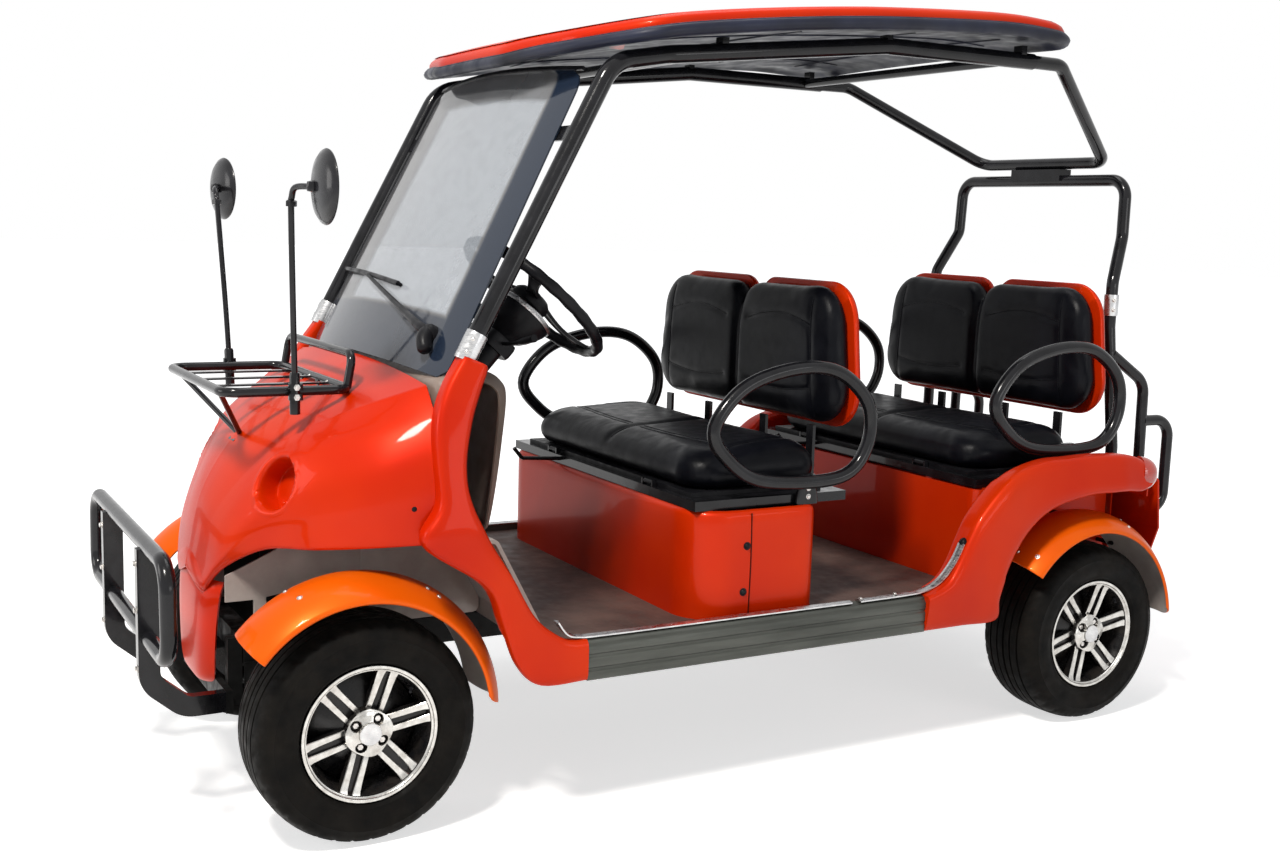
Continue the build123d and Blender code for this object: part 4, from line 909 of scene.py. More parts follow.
def make_rim(end, name, centre, side, body):
    fr = wheel_frame(centre, side)
    axis = (0, side, 0)
    parts = []
    barrel = [(0.1375, -0.0800), (0.1400, -0.0790), (0.1400, -0.0715), (0.1265, -0.0700), (0.1185, -0.045),
              (0.1185, 0.045), (0.1265, 0.0700), (0.1400, 0.0715), (0.1400, 0.0785), (0.1388, 0.0806),
              (0.1362, 0.0812), (0.1330, 0.0800), (0.1318, 0.0772), (0.1300, 0.0760), (0.1282, 0.0752),
              (0.1268, 0.0700), (0.1215, 0.0600), (0.1165, 0.040), (0.1150, 0.010), (0.1150, -0.050),
              (0.1240, -0.0780), (0.1375, -0.0800)]
    tint = [0 if 8 <= k < 14 else 1 for k in range(len(barrel) - 1)]
    parts.append(turned(f"rb_{end}_{name}", barrel, centre, axis, body, "rim_alloy", 96,
                        ("rim_alloy", "rim_black"), tint, 35))
    disc = [(0.1155, 0.004), (0.112, 0.016), (0.080, 0.030), (0.050, 0.046), (0.030, 0.050), (0.0, 0.050)]
    parts.append(turned(f"rd_{end}_{name}", disc, centre, axis, body, "rim_alloy", 72,
                        ("rim_alloy", "rim_black"), [1] * 5, 35))
    lean = math.radians(12)
    for q in range(6):
        a = lean + q * math.pi / 3
        for off in (-0.0135, 0.0135):
            parts.append(spoke_bar(f"sp_{end}_{name}_{q}_{off}", fr, a, off, body))
        # black floor between the two bars
        c, u, v, w = fr
        radial = math.cos(a) * u + math.sin(a) * v
        across = -math.sin(a) * u + math.cos(a) * v
        floor = []
        for r, h in ((0.040, 0.048), (0.075, 0.054), (0.105, 0.056), (0.126, 0.060)):
            floor.append([c + radial * r + across * s + w * h for s in (-0.009, 0.0, 0.009)])
        parts.append(surface(f"sf_{end}_{name}_{q}", floor, body, "rim_alloy", thick=0.003,
                             mats=("rim_black",)))
    turn = math.radians(45) + lean
    parts.append(hub_cap(f"hc_{end}_{name}", fr, body, turn))
    flat = [(0.0222, 0.0800), (0.0222, 0.0808), (0.0216, 0.0813), (0.0, 0.0815)]
    plate = turned(f"hp_{end}_{name}", flat, centre, axis, body, "rim_alloy", 48, ("clamp_steel",), smooth=30)
    nut = [(0.0072, 0), (0.0072, 0.009), (0.0060, 0.0112), (0.0, 0.0115)]
    for q in range(4):
        at = wheel_point(fr, LUG_R, turn + q * math.pi / 2, 0.058)
        parts.append(turned(f"ln_{end}_{name}_{q}", nut, Vector(at), axis, body, "rim_alloy", 6, ("bolt",),
                            smooth=20))
    rim = join(f"wheel_rim_{end}_{name}", parts + [plate])
    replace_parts(rim, f"rim_{end}_{name}")
    valve = wheel_point(fr, 0.1235, lean + math.pi / 6, 0.058)
    lean_in = Vector(wheel_point(fr, 0.112, lean + math.pi / 6, 0.074)) - Vector(valve)
    stem = [(0.0042, 0), (0.0042, 0.012), (0.003, 0.013), (0.003, 0.022), (0, 0.023)]
    turned(f"valve_{end}_{name}", stem, valve, lean_in, body, "tyre", 12, ("plastic_black",))


for end, x, y in (("front", FRONT_AXLE_X, 0.402), ("rear", REAR_AXLE_X, 0.472)):
    for name, side in SIDES:
        spot = (x, side * y, WHEEL_R)
        make_tyre(f"tyre_{end}_{name}_tread", spot, side, f"wheel_{end}_{name}", f"tyre_{end}_{name}")
        make_rim(end, name, spot, side, f"wheel_{end}_{name}")


# ---- roof
def rounded(points, radius, per):
    """A closed polygon with its corners rounded by arcs."""
    p = np.asarray(points, float)
    n = len(p)
    out = []
    for i in range(n):
        r = radius[i] if np.ndim(radius) else radius
        a, b, c = p[i - 1], p[i], p[(i + 1) % n]
        u, v = (a - b) / np.linalg.norm(a - b), (c - b) / np.linalg.norm(c - b)
        half = math.acos(float(np.clip(np.dot(u, v), -1, 1))) / 2
        if r < 1e-6 or half > math.pi / 2 - 0.02:
            out.append(b)
            continue
        back = min(r / math.tan(half), 0.48 * min(np.linalg.norm(a - b), np.linalg.norm(c - b)))
        r = back * math.tan(half)
        mid = (u + v) / np.linalg.norm(u + v)
        centre = b + mid * (r / math.sin(half))
        p0, p1 = b + u * back - centre, b + v * back - centre
        for k in range(per + 1):
            t = k / per
            q = p0 * (1 - t) + p1 * t
            out.append(centre + q / np.linalg.norm(q) * r)
    return np.array(out)


ROOF_SIDE = ((-0.640, 1.578), (-0.590, 1.602), (-0.530, 1.622), (-0.335, 1.664), (0.036, 1.708),
             (0.457, 1.738), (0.642, 1.737), (0.735, 1.726), (0.800, 1.710))
ROOF_PLAN = ((-0.590, 0.180), (-0.532, 0.400), (-0.420, 0.545), (0.100, 0.572), (0.735, 0.540))
TRIM_GROW = 0.008
CROWN = 0.010
roof_line = spline(ROOF_SIDE, 8)


def roof_top(x, y):
    """Height of the shell over the plan."""
    return float(np.interp(x, roof_line[:, 0], roof_line[:, 1])) + CROWN * (1 - (y / 0.56) ** 2)


def roof_loop(grow):
    pts = [(x + (grow if x > 0.5 else -grow if x < -0.3 else 0), y + grow) for x, y in ROOF_PLAN]
    half = pts + [(x, -y) for x, y in reversed(pts)]
    return even(rounded(half, 0.084, 10), 176)


def roof_rings(name, rings, slot):
    """Rings given as (grow, drop below the shell's top, share of the way in)."""
    middle = np.array((0.08, 0.0))
    loops = []
    for grow, drop, inward in rings:
        loop = roof_loop(grow)
        loop = loop * (1 - inward) + (middle + (loop - middle) * (0.62, 0.02)) * inward
        loops.append([(x, y, roof_top(x, y) - drop) for x, y in loop])
    obj = new_mesh(name, loops, quads(len(loops), len(loops[0]), False, True), "chassis", slot, None, 50)
    with edited(obj) as bm:
        ends = [e for e in bm.edges if e.is_boundary]
        bmesh.ops.holes_fill(bm, edges=ends, sides=0)
        bmesh.ops.recalc_face_normals(bm, faces=bm.faces)
    return obj


def make_roof():
    inner = [(0.0, 0.0, k) for k in (0.03, 0.06, 0.12, 0.2, 0.3, 0.42, 0.55, 0.7, 0.85, 1.0)]
    top = [(-0.010, 0.0236, 0.0), (-0.0005, 0.0236, 0.0), (0.0, 0.020, 0.0), (0.0, 0.013, 0.0),
           (-0.003, 0.007, 0.0), (-0.008, 0.003, 0.0), (-0.015, 0.0008, 0.0)] + inner
    shell = roof_rings("roof_skin", top, "body_orange")
    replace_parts(shell, "roof_shell")
    t = 0.0243  # the trim starts this far below the shell's top
    nose = [(-0.020, t, 0.0), (TRIM_GROW - 0.003, t - 0.002, 0.0), (TRIM_GROW + 0.001, t + 0.002, 0.0),
            (TRIM_GROW + 0.003, t + 0.009, 0.0), (TRIM_GROW + 0.001, t + 0.016, 0.0),
            (TRIM_GROW - 0.004, t + 0.022, 0.0), (TRIM_GROW - 0.012, t + 0.025, 0.0),
            (TRIM_GROW - 0.022, t + 0.023, 0.0), (TRIM_GROW - 0.030, t + 0.019, 0.0)]
    under = [(TRIM_GROW - 0.030, t + 0.019 - 0.004 * k, k) for k in (0.1, 0.25, 0.45, 0.7, 1.0)]
    trim = roof_rings("roof_edge", nose + under, "roof_rubber")
    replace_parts(trim, "roof_trim")
    # sewn seams of the lining and the raised bead between the shell and its trim
    lines = []
    for x in (-0.30, 0.02, 0.34, 0.60):
        pts = [(x, y, roof_top(x, y) - t - 0.0185) for y in np.linspace(-0.42, 0.42, 15)]
        lines.append(pipe(f"ls_{x}", pts, 0.0022, "chassis", "roof_rubber", sides=6))
    for y in (-0.30, 0.30):
        pts = [(x, y, roof_top(x, y) - t - 0.0185) for x in np.linspace(-0.46, 0.66, 24)]
        lines.append(pipe(f"ly_{y}", pts, 0.0022, "chassis", "roof_rubber", sides=6))
    join("lining_seams", lines)
    bead = roof_loop(TRIM_GROW * 0.35)
    pipe("roof_bead", [(x, y, roof_top(x, y) - 0.0235) for x, y in bead], 0.0028, "chassis", "roof_rubber",
         closed=True, sides=8)


make_roof()


# ---- wheel well panels behind the front wheels
WELL = ((-0.903, 0.366), (-0.628, 0.366), (-0.628, 0.398), (-0.735, 0.594), (-0.838, 0.598), (-0.903, 0.584))


def make_well(name, side):
    edge = even(rounded(list(WELL), (0.006, 0.02, 0.03, 0.04, 0.03, 0.006), 6), 120)
    mid = edge.mean(axis=0)
    loops = []
    for y, inset in ((0.1835, 0.0), (0.1875, 0.0), (0.1890, 0.0015), (0.1890, 0.020), (0.1935, 0.028),
                     (0.1935, 0.060)):
        loops.append([(*(p + (mid - p) * min(0.8, inset / max(np.linalg.norm(mid - p), 1e-6))), y)
                      for p in edge])
    loops = [[(x, side * y, z) for x, z, y in loop] for loop in loops]
    loft(f"well_panel_{name}", loops, "chassis", "inner_panel")


for name, side in SIDES:
    make_well(name, side)


# ---- seats
BENCHES = (("front", 0.0), ("rear", 0.810))
CUSHION_Z, CUSHION_RISE, SEAT_HALF = 0.6506, 0.0845, 0.425
BACK_LOW, BACK_TOP, BACK_FRONT, BACK_REAR = 0.775, 1.108, 0.1563, 0.222
BACK_MIDDLE, BACK_HALF_WIDTH, BACK_HALF_HEIGHT = 0.93, 0.42, 0.166
PUFF_PRESSURE, PUFF_VOXEL, PUFF_FRAMES = 4.0, 0.0088, 20
PUFF_STIFFNESS, PUFF_QUALITY = 12, 5


def puff(obj, cap):
    """Swells a pad with a short cloth run, never further than the cap."""
    add_mod(obj, "REMESH", mode="VOXEL", voxel_size=PUFF_VOXEL)
    apply_mods(obj)
    before = np.empty(len(obj.data.vertices) * 3)
    obj.data.vertices.foreach_get("co", before)
    cloth = obj.modifiers.new("cloth", "CLOTH")
    cloth.settings.use_pressure = True
    cloth.settings.uniform_pressure_force = PUFF_PRESSURE
    cloth.settings.effector_weights.gravity = 0
    cloth.settings.tension_stiffness = cloth.settings.compression_stiffness = PUFF_STIFFNESS
    cloth.settings.quality = PUFF_QUALITY
    cloth.point_cache.frame_start, cloth.point_cache.frame_end = 1, PUFF_FRAMES
    for step in range(1, PUFF_FRAMES + 1):
        bpy.context.scene.frame_set(step)
    apply_mods(obj)
    bpy.context.scene.frame_set(1)
    after = np.empty_like(before)
    obj.data.vertices.foreach_get("co", after)
    move = (after - before).reshape(-1, 3)
    far = np.linalg.norm(move, axis=1)[:, None]
    move *= np.minimum(1, cap / np.maximum(far, 1e-9))
    obj.data.vertices.foreach_set("co", (before.reshape(-1, 3) + move).ravel())
    obj.data.polygons.foreach_set("use_smooth", [True] * len(obj.data.polygons))
    obj.data.update()


def reshape(obj, change):
    """Moves every point of a mesh by a function of all points."""
    n = len(obj.data.vertices)
    co = np.empty(n * 3)
    obj.data.vertices.foreach_get("co", co)
    co = change(co.reshape(-1, 3))
    obj.data.vertices.foreach_set("co", np.ascontiguousarray(co).ravel())
    obj.data.update()


def grooves(obj, lines, axis, depth, width, mask):
    """Draws seams into a soft surface along lines given in a plane."""
    keep = [k for k in range(3) if k != abs(axis) - 1]
    sign = math.copysign(1, axis)

    def change(co):
        near = np.full(len(co), 9.0)
        for line in lines:
            p = np.asarray(line, float)
            for a, b in zip(p, p[1:]):
                ab = b - a
                t = np.clip(((co[:, keep] - a) @ ab) / max(ab @ ab, 1e-12), 0, 1)
                d = np.linalg.norm(co[:, keep] - (a + t[:, None] * ab), axis=1)
                near = np.minimum(near, d)
        cut = depth * np.exp(-(near / width) ** 2) * mask(co)
        co[:, abs(axis) - 1] -= sign * cut
        return co

    reshape(obj, change)


def stitches(name, lines, obj, direction, body):
    """A thin sewn cord laid along each seam."""
    out = []
    for k, line in enumerate(lines):
        pts = []
        for p in line:
            start = Vector(p) - Vector(direction) * 0.2
            ok, spot, normal, _ = obj.ray_cast(start, Vector(direction))
            if ok:
                pts.append(np.array(spot + normal * 0.0003))
        if len(pts) > 3:
            out.append(pipe(f"{name}_{k}", spline(pts, 3), 0.0011, body, "seat_black", sides=6))
    return join(name, out)


def finish_pad(pad, node):
    add_mod(pad, "SUBSURF", levels=1, render_levels=1)
    apply_mods(pad)
    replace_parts(pad, node)


def cushion(bench, shift):
    x0, x1 = shift - 0.222, shift + 0.132
    plan = rounded([(x0, -SEAT_HALF), (x0, SEAT_HALF), (x1, SEAT_HALF), (x1, -SEAT_HALF)],
                   (0.075, 0.075, 0.045, 0.045), 8)
    plan = even(plan, 160)
    mid_x = (x0 + x1) / 2
    # way in from the edge, height
    rings = ((0.030, 0.0), (0.012, 0.004), (0.0, 0.018), (-0.003, 0.036), (0.0, 0.052), (0.006, 0.064),
             (0.016, 0.074), (0.030, 0.080), (0.055, 0.0835), (0.09, CUSHION_RISE))
    loops = []
    for inset, up in rings:
        loop = []
        for x, y in plan:
            px = mid_x + (x - mid_x) * (1 - inset / ((x1 - x0) / 2))
            py = y * (1 - inset / SEAT_HALF)
            slope = (px - x0) / (x1 - x0) * 0.016 - 0.004
            loop.append((px, py, CUSHION_Z + up * (1 + slope / 0.08 * (up / CUSHION_RISE))))
        loops.append(loop)
    pad = loft(f"{bench}_cushion_pad", loops, f"{bench}_seat_lid", "seat_black", smooth=180)
    with edited(pad) as bm:
        bmesh.ops.poke(bm, faces=[f for f in bm.faces if len(f.verts) > 10])
    puff(pad, 0.008)
    top = lambda co: np.clip((co[:, 2] - (CUSHION_Z + 0.045)) / 0.02, 0, 1)
    cross = [[(shift - 0.105 - 0.030 * math.cos(min(abs(y) - 0.03, 0.36) / 0.36 * math.pi / 2), y)
              for y in np.linspace(s * 0.03, s * 0.40, 12)] for s in (-1, 1)]
    twin = [[(x + 0.012, y) for x, y in line] for line in cross]
    centre = [[(shift - 0.222, 0.0), (shift + 0.132, 0.0)]]
    sides = [[(shift - 0.105 + 0.235 * t, s * (0.335 + 0.035 * (1 - t) ** 2))
              for t in np.linspace(0, 1, 10)] for s in (-1, 1)]
    grooves(pad, centre, 3, 0.007, 0.012, top)
    grooves(pad, cross + sides, 3, 0.0035, 0.006, top)
    grooves(pad, twin, 3, 0.0012, 0.003, top)
    reshape(pad, lambda co: np.where(co[:, 2:] < CUSHION_Z,
                                     np.c_[co[:, :2], np.full(len(co), CUSHION_Z)], co))
    finish_pad(pad, f"{bench}_cushion")
    rows = [[(x, y, 0.85) for x, y in line] for line in cross + twin + sides]
    rows.append([(shift - 0.20 + 0.02 * k, 0.0, 0.85) for k in range(16)])
    stitches(f"{bench}_cushion_seams", rows, pad, (0, 0, -1), f"{bench}_seat_lid")


def back_outline():
    """The backrest from the front: one panel with a notch at the middle of its top."""
    half = [(SEAT_HALF, BACK_LOW), (SEAT_HALF - 0.042, BACK_TOP), (0.036, BACK_TOP)]
    pts = half + [(0.0, BACK_TOP - 0.055)] + [(-y, z) for y, z in reversed(half)]
    radius = (0.085, 0.095, 0.055, 0.012, 0.055, 0.095, 0.085)
    return even(rounded(pts, radius, 10), 200)


def backrest(bench, shift):
    line = back_outline()
    # inset from the outline, distance behind the front face
    rings = ((0.085, 0.0660), (0.030, 0.0655), (0.010, 0.062), (0.002, 0.052), (0.0, 0.038), (0.002, 0.024),
             (0.009, 0.012), (0.022, 0.005), (0.045, 0.0015), (0.085, 0.0))
    loops = []
    for inset, deep in rings:
        loop = []
        for y, z in line:
            ky, kz = 1 - inset / BACK_HALF_WIDTH, 1 - inset / BACK_HALF_HEIGHT
            loop.append((shift + BACK_FRONT + 0.002 + deep * 0.95, y * ky,
                         BACK_MIDDLE + (z - BACK_MIDDLE) * kz))
        loops.append(loop)
    pad = loft(f"{bench}_back_pad", loops, "chassis", "seat_black", smooth=180)
    with edited(pad) as bm:
        bmesh.ops.triangulate(bm, faces=[f for f in bm.faces if len(f.verts) > 10])
    puff(pad, 0.007)
    front = lambda co: np.clip(((shift + BACK_FRONT + 0.035) - co[:, 0]) / 0.015, 0, 1)
    centre = [[(0.0, BACK_LOW), (0.0, BACK_TOP)]]
    inner = []
    for s in (-1, 1):
        inner.append([(s * (0.335 - 0.018 * t), BACK_LOW + 0.02 + 0.28 * t) for t in np.linspace(0, 1, 10)])
        inner.append([(s * y, BACK_TOP - 0.095 + 0.022 * math.sin((y - 0.05) / 0.27 * math.pi))
                      for y in np.linspace(0.05, 0.32, 12)])
        inner.append([(s * y, BACK_LOW + 0.085 - 0.012 * math.sin((y - 0.05) / 0.27 * math.pi))
                      for y in np.linspace(0.05, 0.33, 12)])
    grooves(pad, centre, -1, 0.012, 0.013, front)
    grooves(pad, inner, -1, 0.0032, 0.0055, front)
    reshape(pad, lambda co: np.c_[np.minimum(co[:, 0], shift + BACK_REAR), co[:, 1:]])
    finish_pad(pad, "backrests")
    rows = [[(shift, y, z) for y, z in line] for line in inner]
    stitches(f"{bench}_back_seams", rows, pad, (1, 0, 0), "chassis")

    # painted shell behind the pad: its edge shows from the front
    loops = []
    for grow, x in ((-0.02, 0.2225), (0.0045, 0.2225), (0.0065, 0.2255), (0.0065, 0.2320), (0.004, 0.2385),
                    (-0.006, 0.2430), (-0.030, 0.2440), (-0.075, 0.2425)):
        ky, kz = 1 + grow / BACK_HALF_WIDTH, 1 + grow / BACK_HALF_HEIGHT
        loops.append([(shift + x, y * ky, BACK_MIDDLE + (z - BACK_MIDDLE) * kz) for y, z in line])
    shell = loft(f"{bench}_back_shell", loops, "chassis", "body_orange", smooth=50)
    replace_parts(shell, "back_shells")
    bolts = []
    for k, (y, z) in enumerate(((-0.33, 0.83), (-0.13, 0.83), (0.13, 0.83), (0.33, 0.83), (-0.25, 1.04),
                                (0.25, 1.04))):
        ok, spot, _, _ = shell.ray_cast(Vector((shift + 0.4, y, z)), Vector((-1, 0, 0)))
        if ok:
            bolts.append(bolt(f"bb_{bench}_{k}", spot - Vector((0.0003, 0, 0)), (1, 0, 0), 0.006))
    join(f"{bench}_back_bolts", bolts)


for bench, shift in BENCHES:
    cushion(bench, shift)
    backrest(bench, shift)


# ---- windshield and wiper
POST_FOOT, POST_TOP = Vector((-0.790, 0, 0.964)), Vector((-0.478, 0, 1.560))
slant = (POST_TOP - POST_FOOT).normalized()
ahead = Vector((-slant.z, 0, slant.x))
GLASS_FOOT = Vector((-0.826, 0, 0.932)) - slant * 0.045 - ahead * 0.016
GLASS_H, GLASS_HALF, GLASS_TOP_HALF, GLASS_BULGE = 0.748, 0.438, 0.392, 0.040
GLASS_LOW = 0.040


def glass_point(y, up, out):
    """A point of the curved sheet; out moves it ahead of its front face."""
    share = y / GLASS_HALF
    return GLASS_FOOT + slant * up + Vector((0, y, 0)) + ahead * (GLASS_BULGE * (1 - share * share) + out)


def glass_half(up):
    """Half the sheet's width at a height, with its rounded corners."""
    half = GLASS_HALF + (GLASS_TOP_HALF - GLASS_HALF) * up / GLASS_H
    for radius, inside in ((0.03, up - GLASS_LOW), (0.055, GLASS_H - up)):
        drop = max(0.0, radius - inside)
        half -= radius - math.sqrt(max(0.0, radius ** 2 - drop ** 2))
    return half


def make_glass():
    grid = []
    rows, cols = 40, 48
    for i in range(rows + 1):
        up = GLASS_LOW + (GLASS_H - GLASS_LOW) * i / rows
        half = glass_half(up)
        grid.append([glass_point(half * (2 * j / cols - 1), up, -0.0012) for j in range(cols + 1)])
    # the sheet's foot follows the hood, which is higher in the middle
    lowest = bpy.data.objects["hood"]
    for j in range(cols + 1):
        for i in range(rows + 1):
            p = grid[i][j]
            ok, spot, _, _ = lowest.ray_cast(Vector((p.x, p.y, p.z + 0.4)), Vector((0, 0, -1)))
            if ok and p.z < spot.z + 0.003 and i < 12:
                grid[i][j] = Vector((p.x, p.y, spot.z + 0.003))
    glass = surface("windshield_sheet", grid, "chassis", "windshield", thick=0.004, uv=True, smooth=60)
    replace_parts(glass, "windshield")
    half = GLASS_TOP_HALF * 0.985
    strip = [[glass_point(half * (2 * j / cols - 1), up, 0.0004) for j in range(cols + 1)]
             for up in (GLASS_H - 0.006, GLASS_H, GLASS_H + 0.002)]
    edge = surface("glass_top_strip", strip, "chassis", "plastic_black", thick=0.006, smooth=60)
    fix_normals(edge)


make_glass()


def make_wiper():
    hub, tip = glass_point(-0.318, 0.120, 0.004), glass_point(0.134, 0.217, 0.018)
    black = ("chassis", "plastic_black")
    knob = [(0.019, -0.0035), (0.019, 0.010), (0.015, 0.018), (0.009, 0.022), (0.0, 0.023)]
    parts = [turned("wiper_hub", knob, hub, ahead, *black, 32)]
    foot = glass_point(-0.350, 0.078, 0.016)
    cover = spline([hub + ahead * 0.012, (hub + foot) / 2 + ahead * 0.012, foot], 6)
    wide = np.interp(np.linspace(0, 1, len(cover)), (0, 0.3, 0.85, 1), (0.015, 0.017, 0.015, 0.009))
    parts.append(pipe("wiper_cover", cover, wide, *black, sides=20))
    arm = [hub + ahead * 0.018, hub + ahead * 0.022 + (tip - hub) * 0.10,
           hub + (tip - hub) * 0.45 + ahead * 0.014,
           hub + (tip - hub) * 0.8 + ahead * 0.006, tip]
    line = spline(arm, 6)
    wide = np.interp(np.linspace(0, 1, len(line)), (0, 0.12, 0.3, 0.6, 1),
                     (0.010, 0.011, 0.0085, 0.0055, 0.0035))
    parts.append(pipe("wiper_arm", line, wide, *black, sides=12))
    ends = (-0.074, 0.208), (0.170, 0.2235), (0.412, 0.239)
    blade = spline([glass_point(y, up, 0.0125) for y, up in ends], 10)
    parts.append(pipe("wiper_blade", blade, 0.0058, *black, sides=10))
    rubber = spline([glass_point(y, up, 0.0035) for y, up in ends], 10)
    parts.append(pipe("wiper_rubber", rubber, 0.0026, *black, sides=6))
    for k in range(0, 21, 4):
        at = Vector(blade[k])
        parts.append(pipe(f"wiper_claw_{k}", [at + ahead * 0.006, at, Vector(rubber[k])], 0.0042, *black,
                          sides=8))
    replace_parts(join("wiper_arm_blade", parts), "wiper")


make_wiper()


# ---- dash
HUB, STEER_R = Vector((-0.538, -0.25, 1.072)), 0.176
COLUMN = Vector((math.sin(math.radians(42)), 0, math.cos(math.radians(42))))


def make_dash():
    # side view of the shell, from its foot up over the top and down the rear face
    face = spline([(-0.838, 0.622), (-0.838, 0.80), (-0.836, 0.900), (-0.815, 0.926), (-0.770, 0.938),
                   (-0.725, 0.936), (-0.690, 0.918), (-0.677, 0.885), (-0.684, 0.80), (-0.697, 0.70),
                   (-0.712, 0.622), (-0.722, 0.612)], 6)
    grid = []
    for y in np.linspace(-0.447, 0.447, 61):
        edge = max(0.0, (abs(y) - 0.417) / 0.030)
        pull = 0.020 * (1 - math.sqrt(max(0.0, 1 - edge * edge)))
        cx, cz = -0.765, 0.78
        row = []
        for x, z in face:
            row.append((cx + (x - cx) * (1 - pull / 0.075), y, min(z, cz + (z - cz) * (1 - pull / 0.16))))
        grid.append(row)
    shell = surface("dash_shell", grid, "chassis", "dash_taupe", thick=0.004, smooth=50)
    fix_normals(shell)
    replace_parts(shell, "dash")
    collar = [(0.040, -0.012), (0.040, 0.0), (0.036, 0.006), (0.029, 0.008), (0.0285, -0.012)]
    turned("column_collar", collar, HUB - COLUMN * 0.232, COLUMN, "chassis", "plastic_black", 36)


make_dash()


# ---- steering wheel and pod
def make_steering():
    u, v, w = basis(COLUMN, (0, 1, 0))
    parts = []
    ring = [HUB + (u * math.cos(a) + v * math.sin(a)) * STEER_R
            for a in np.linspace(0, 2 * math.pi, 96, endpoint=False)]
    grip = [0.0125 + 0.0008 * math.cos(24 * a) for a in np.linspace(0, 2 * math.pi, 96, endpoint=False)]
    parts.append(pipe("wheel_ring", ring, grip, "steering", "plastic_black", closed=True, sides=20))
    pad = [(0.0, 0.010), (0.020, 0.010), (0.036, 0.006), (0.044, -0.002), (0.046, -0.012), (0.042, -0.022),
           (0.030, -0.026), (0.0, -0.026)]
    parts.append(turned("wheel_pad", pad, HUB, w, "steering", "plastic_black", 48))
    for q in range(3):
        a = q * 2 * math.pi / 3
        way = u * math.cos(a) + v * math.sin(a)
        side = v * math.cos(a) - u * math.sin(a)
        grid = []
        for t in np.linspace(0, 1, 10):
            r = 0.036 + (STEER_R - 0.006 - 0.036) * t
            half = 0.017 - 0.008 * math.sin(t * math.pi) + 0.004 * t
            sag = -0.008 * math.sin(t * math.pi) - 0.006 * (1 - t)
            grid.append([HUB + way * r + side * (half * s) + w * (sag + 0.003 * (1 - s * s))
                         for s in (-1, -0.6, 0, 0.6, 1)])
        parts.append(surface(f"wheel_spoke_{q}", grid, "steering", "plastic_black", thick=0.007, smooth=40))
    parts.append(pipe("wheel_shaft", [HUB - w * 0.02, HUB - w * 0.14, HUB - w * 0.263], 0.0098, "steering",
                      "chassis_black", sides=20))
    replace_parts(join("steering_wheel_rim", parts), "steering_wheel")
    turned("wheel_button", [(0.013, 0.0095), (0.013, 0.0125), (0.010, 0.014), (0.0, 0.0145)], HUB, w,
           "steering", "plastic_black", 32)
    pod = [(0.0118, -0.040), (0.058, -0.040), (0.069, -0.0385), (0.0745, -0.036), (0.0750, -0.044),
           (0.072, -0.056), (0.064, -0.072), (0.054, -0.088), (0.044, -0.100), (0.032, -0.110),
           (0.0262, -0.122), (0.0260, -0.248), (0.0118, -0.248)]
    shell = turned("pod_shell", pod, HUB, w, "chassis", "plastic_black", 64)
    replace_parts(shell, "instrument_pod")
    edge = [(0.0705, -0.0375), (0.0738, -0.0352), (0.0768, -0.0375), (0.0775, -0.043), (0.0755, -0.046)]
    turned("pod_ring", edge, HUB, w, "chassis", "clamp_steel", 64)
    lever = []
    for k, (way, long) in enumerate(((v, 0.15), (-v, 0.13))):
        root = HUB - w * 0.128 + way * 0.022
        line = spline([root, root + way * 0.05 + w * 0.004, root + way * long + w * 0.028], 6)
        rad = np.interp(np.linspace(0, 1, len(line)), (0, 0.6, 0.75, 1), (0.0045, 0.004, 0.0075, 0.0085))
        lever.append(pipe(f"stalk_{k}", line, rad, "chassis", "plastic_black", sides=12))
    box = superloop([HUB - w * 0.115 + u * a + v * b
                     for a, b in ((-0.034, -0.036), (0.034, -0.036), (0.034, 0.036), (-0.034, 0.036))], 5, 28)
    wide = [[Vector(p) - w * down + (Vector(p) - HUB + w * 0.115) * 0.06 for p in box]
            for down in (0.008, 0.026)]
    low = [Vector(p) - w * 0.034 for p in box]
    lever.append(loft("switch_box", [box, *wide, low], "chassis", "plastic_black"))
    join("stalk_levers", lever)


make_steering()


# ---- seat box
def make_seat_box():
    """A moulded box with rounded corners and a rolled upper edge."""
    x0, x1, half, z0, z1, top_in = -0.255, 0.070, 0.500, 0.375, 0.618, 0.010
    plan = rounded([(x1, -half), (x0, -half), (x0, half), (x1, half)], (0.025, 0.100, 0.100, 0.025), 12)
    plan = even(plan, 200)
    mid_x = (x0 + x1) / 2
    loops = []
    # way in from the outline, height
    levels = [(0.0, z0), (0.0, z0 + 0.004), (0.0, z0 + (z1 - z0) * 0.4), (0.0, z1 - 0.03),
              (0.0006, z1 - 0.012), (0.0026, z1 - 0.005), (0.0065, z1 - 0.0012), (top_in, z1),
              (top_in + 0.004, z1), (0.005 + top_in * 0.5, z1 - 0.02), (0.005, z1 - 0.04), (0.005, z0)]
    for inset, z in levels:
        kx, ky = 1 - inset / ((x1 - x0) / 2), 1 - inset / half
        loops.append([(mid_x + (x - mid_x) * kx, y * ky, z) for x, y in plan])
    faces = quads(len(levels), len(plan), True, True)
    obj = new_mesh("seat_box_shell", loops, faces, "chassis", "body_orange", None, 50)
    fix_normals(obj)
    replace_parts(obj, "front_seat_box")


make_seat_box()
# the box seam on each side is a line of painted shade
for name, side in SIDES:
    seam_line(f"box_seam_{name}", [(-0.112, side * 0.5002, 0.380), (-0.110, side * 0.5002, 0.50),
                                   (-0.112, side * 0.5002, 0.612)], 0.0016)
    for k, (x, z) in enumerate(((-0.1218, 0.5388), (-0.1274, 0.4347))):
        bolt(f"box_plug_{name}_{k}", (x, side * 0.4997, z), (0, side, 0), 0.0068, "plastic_black",
             "plastic_black")


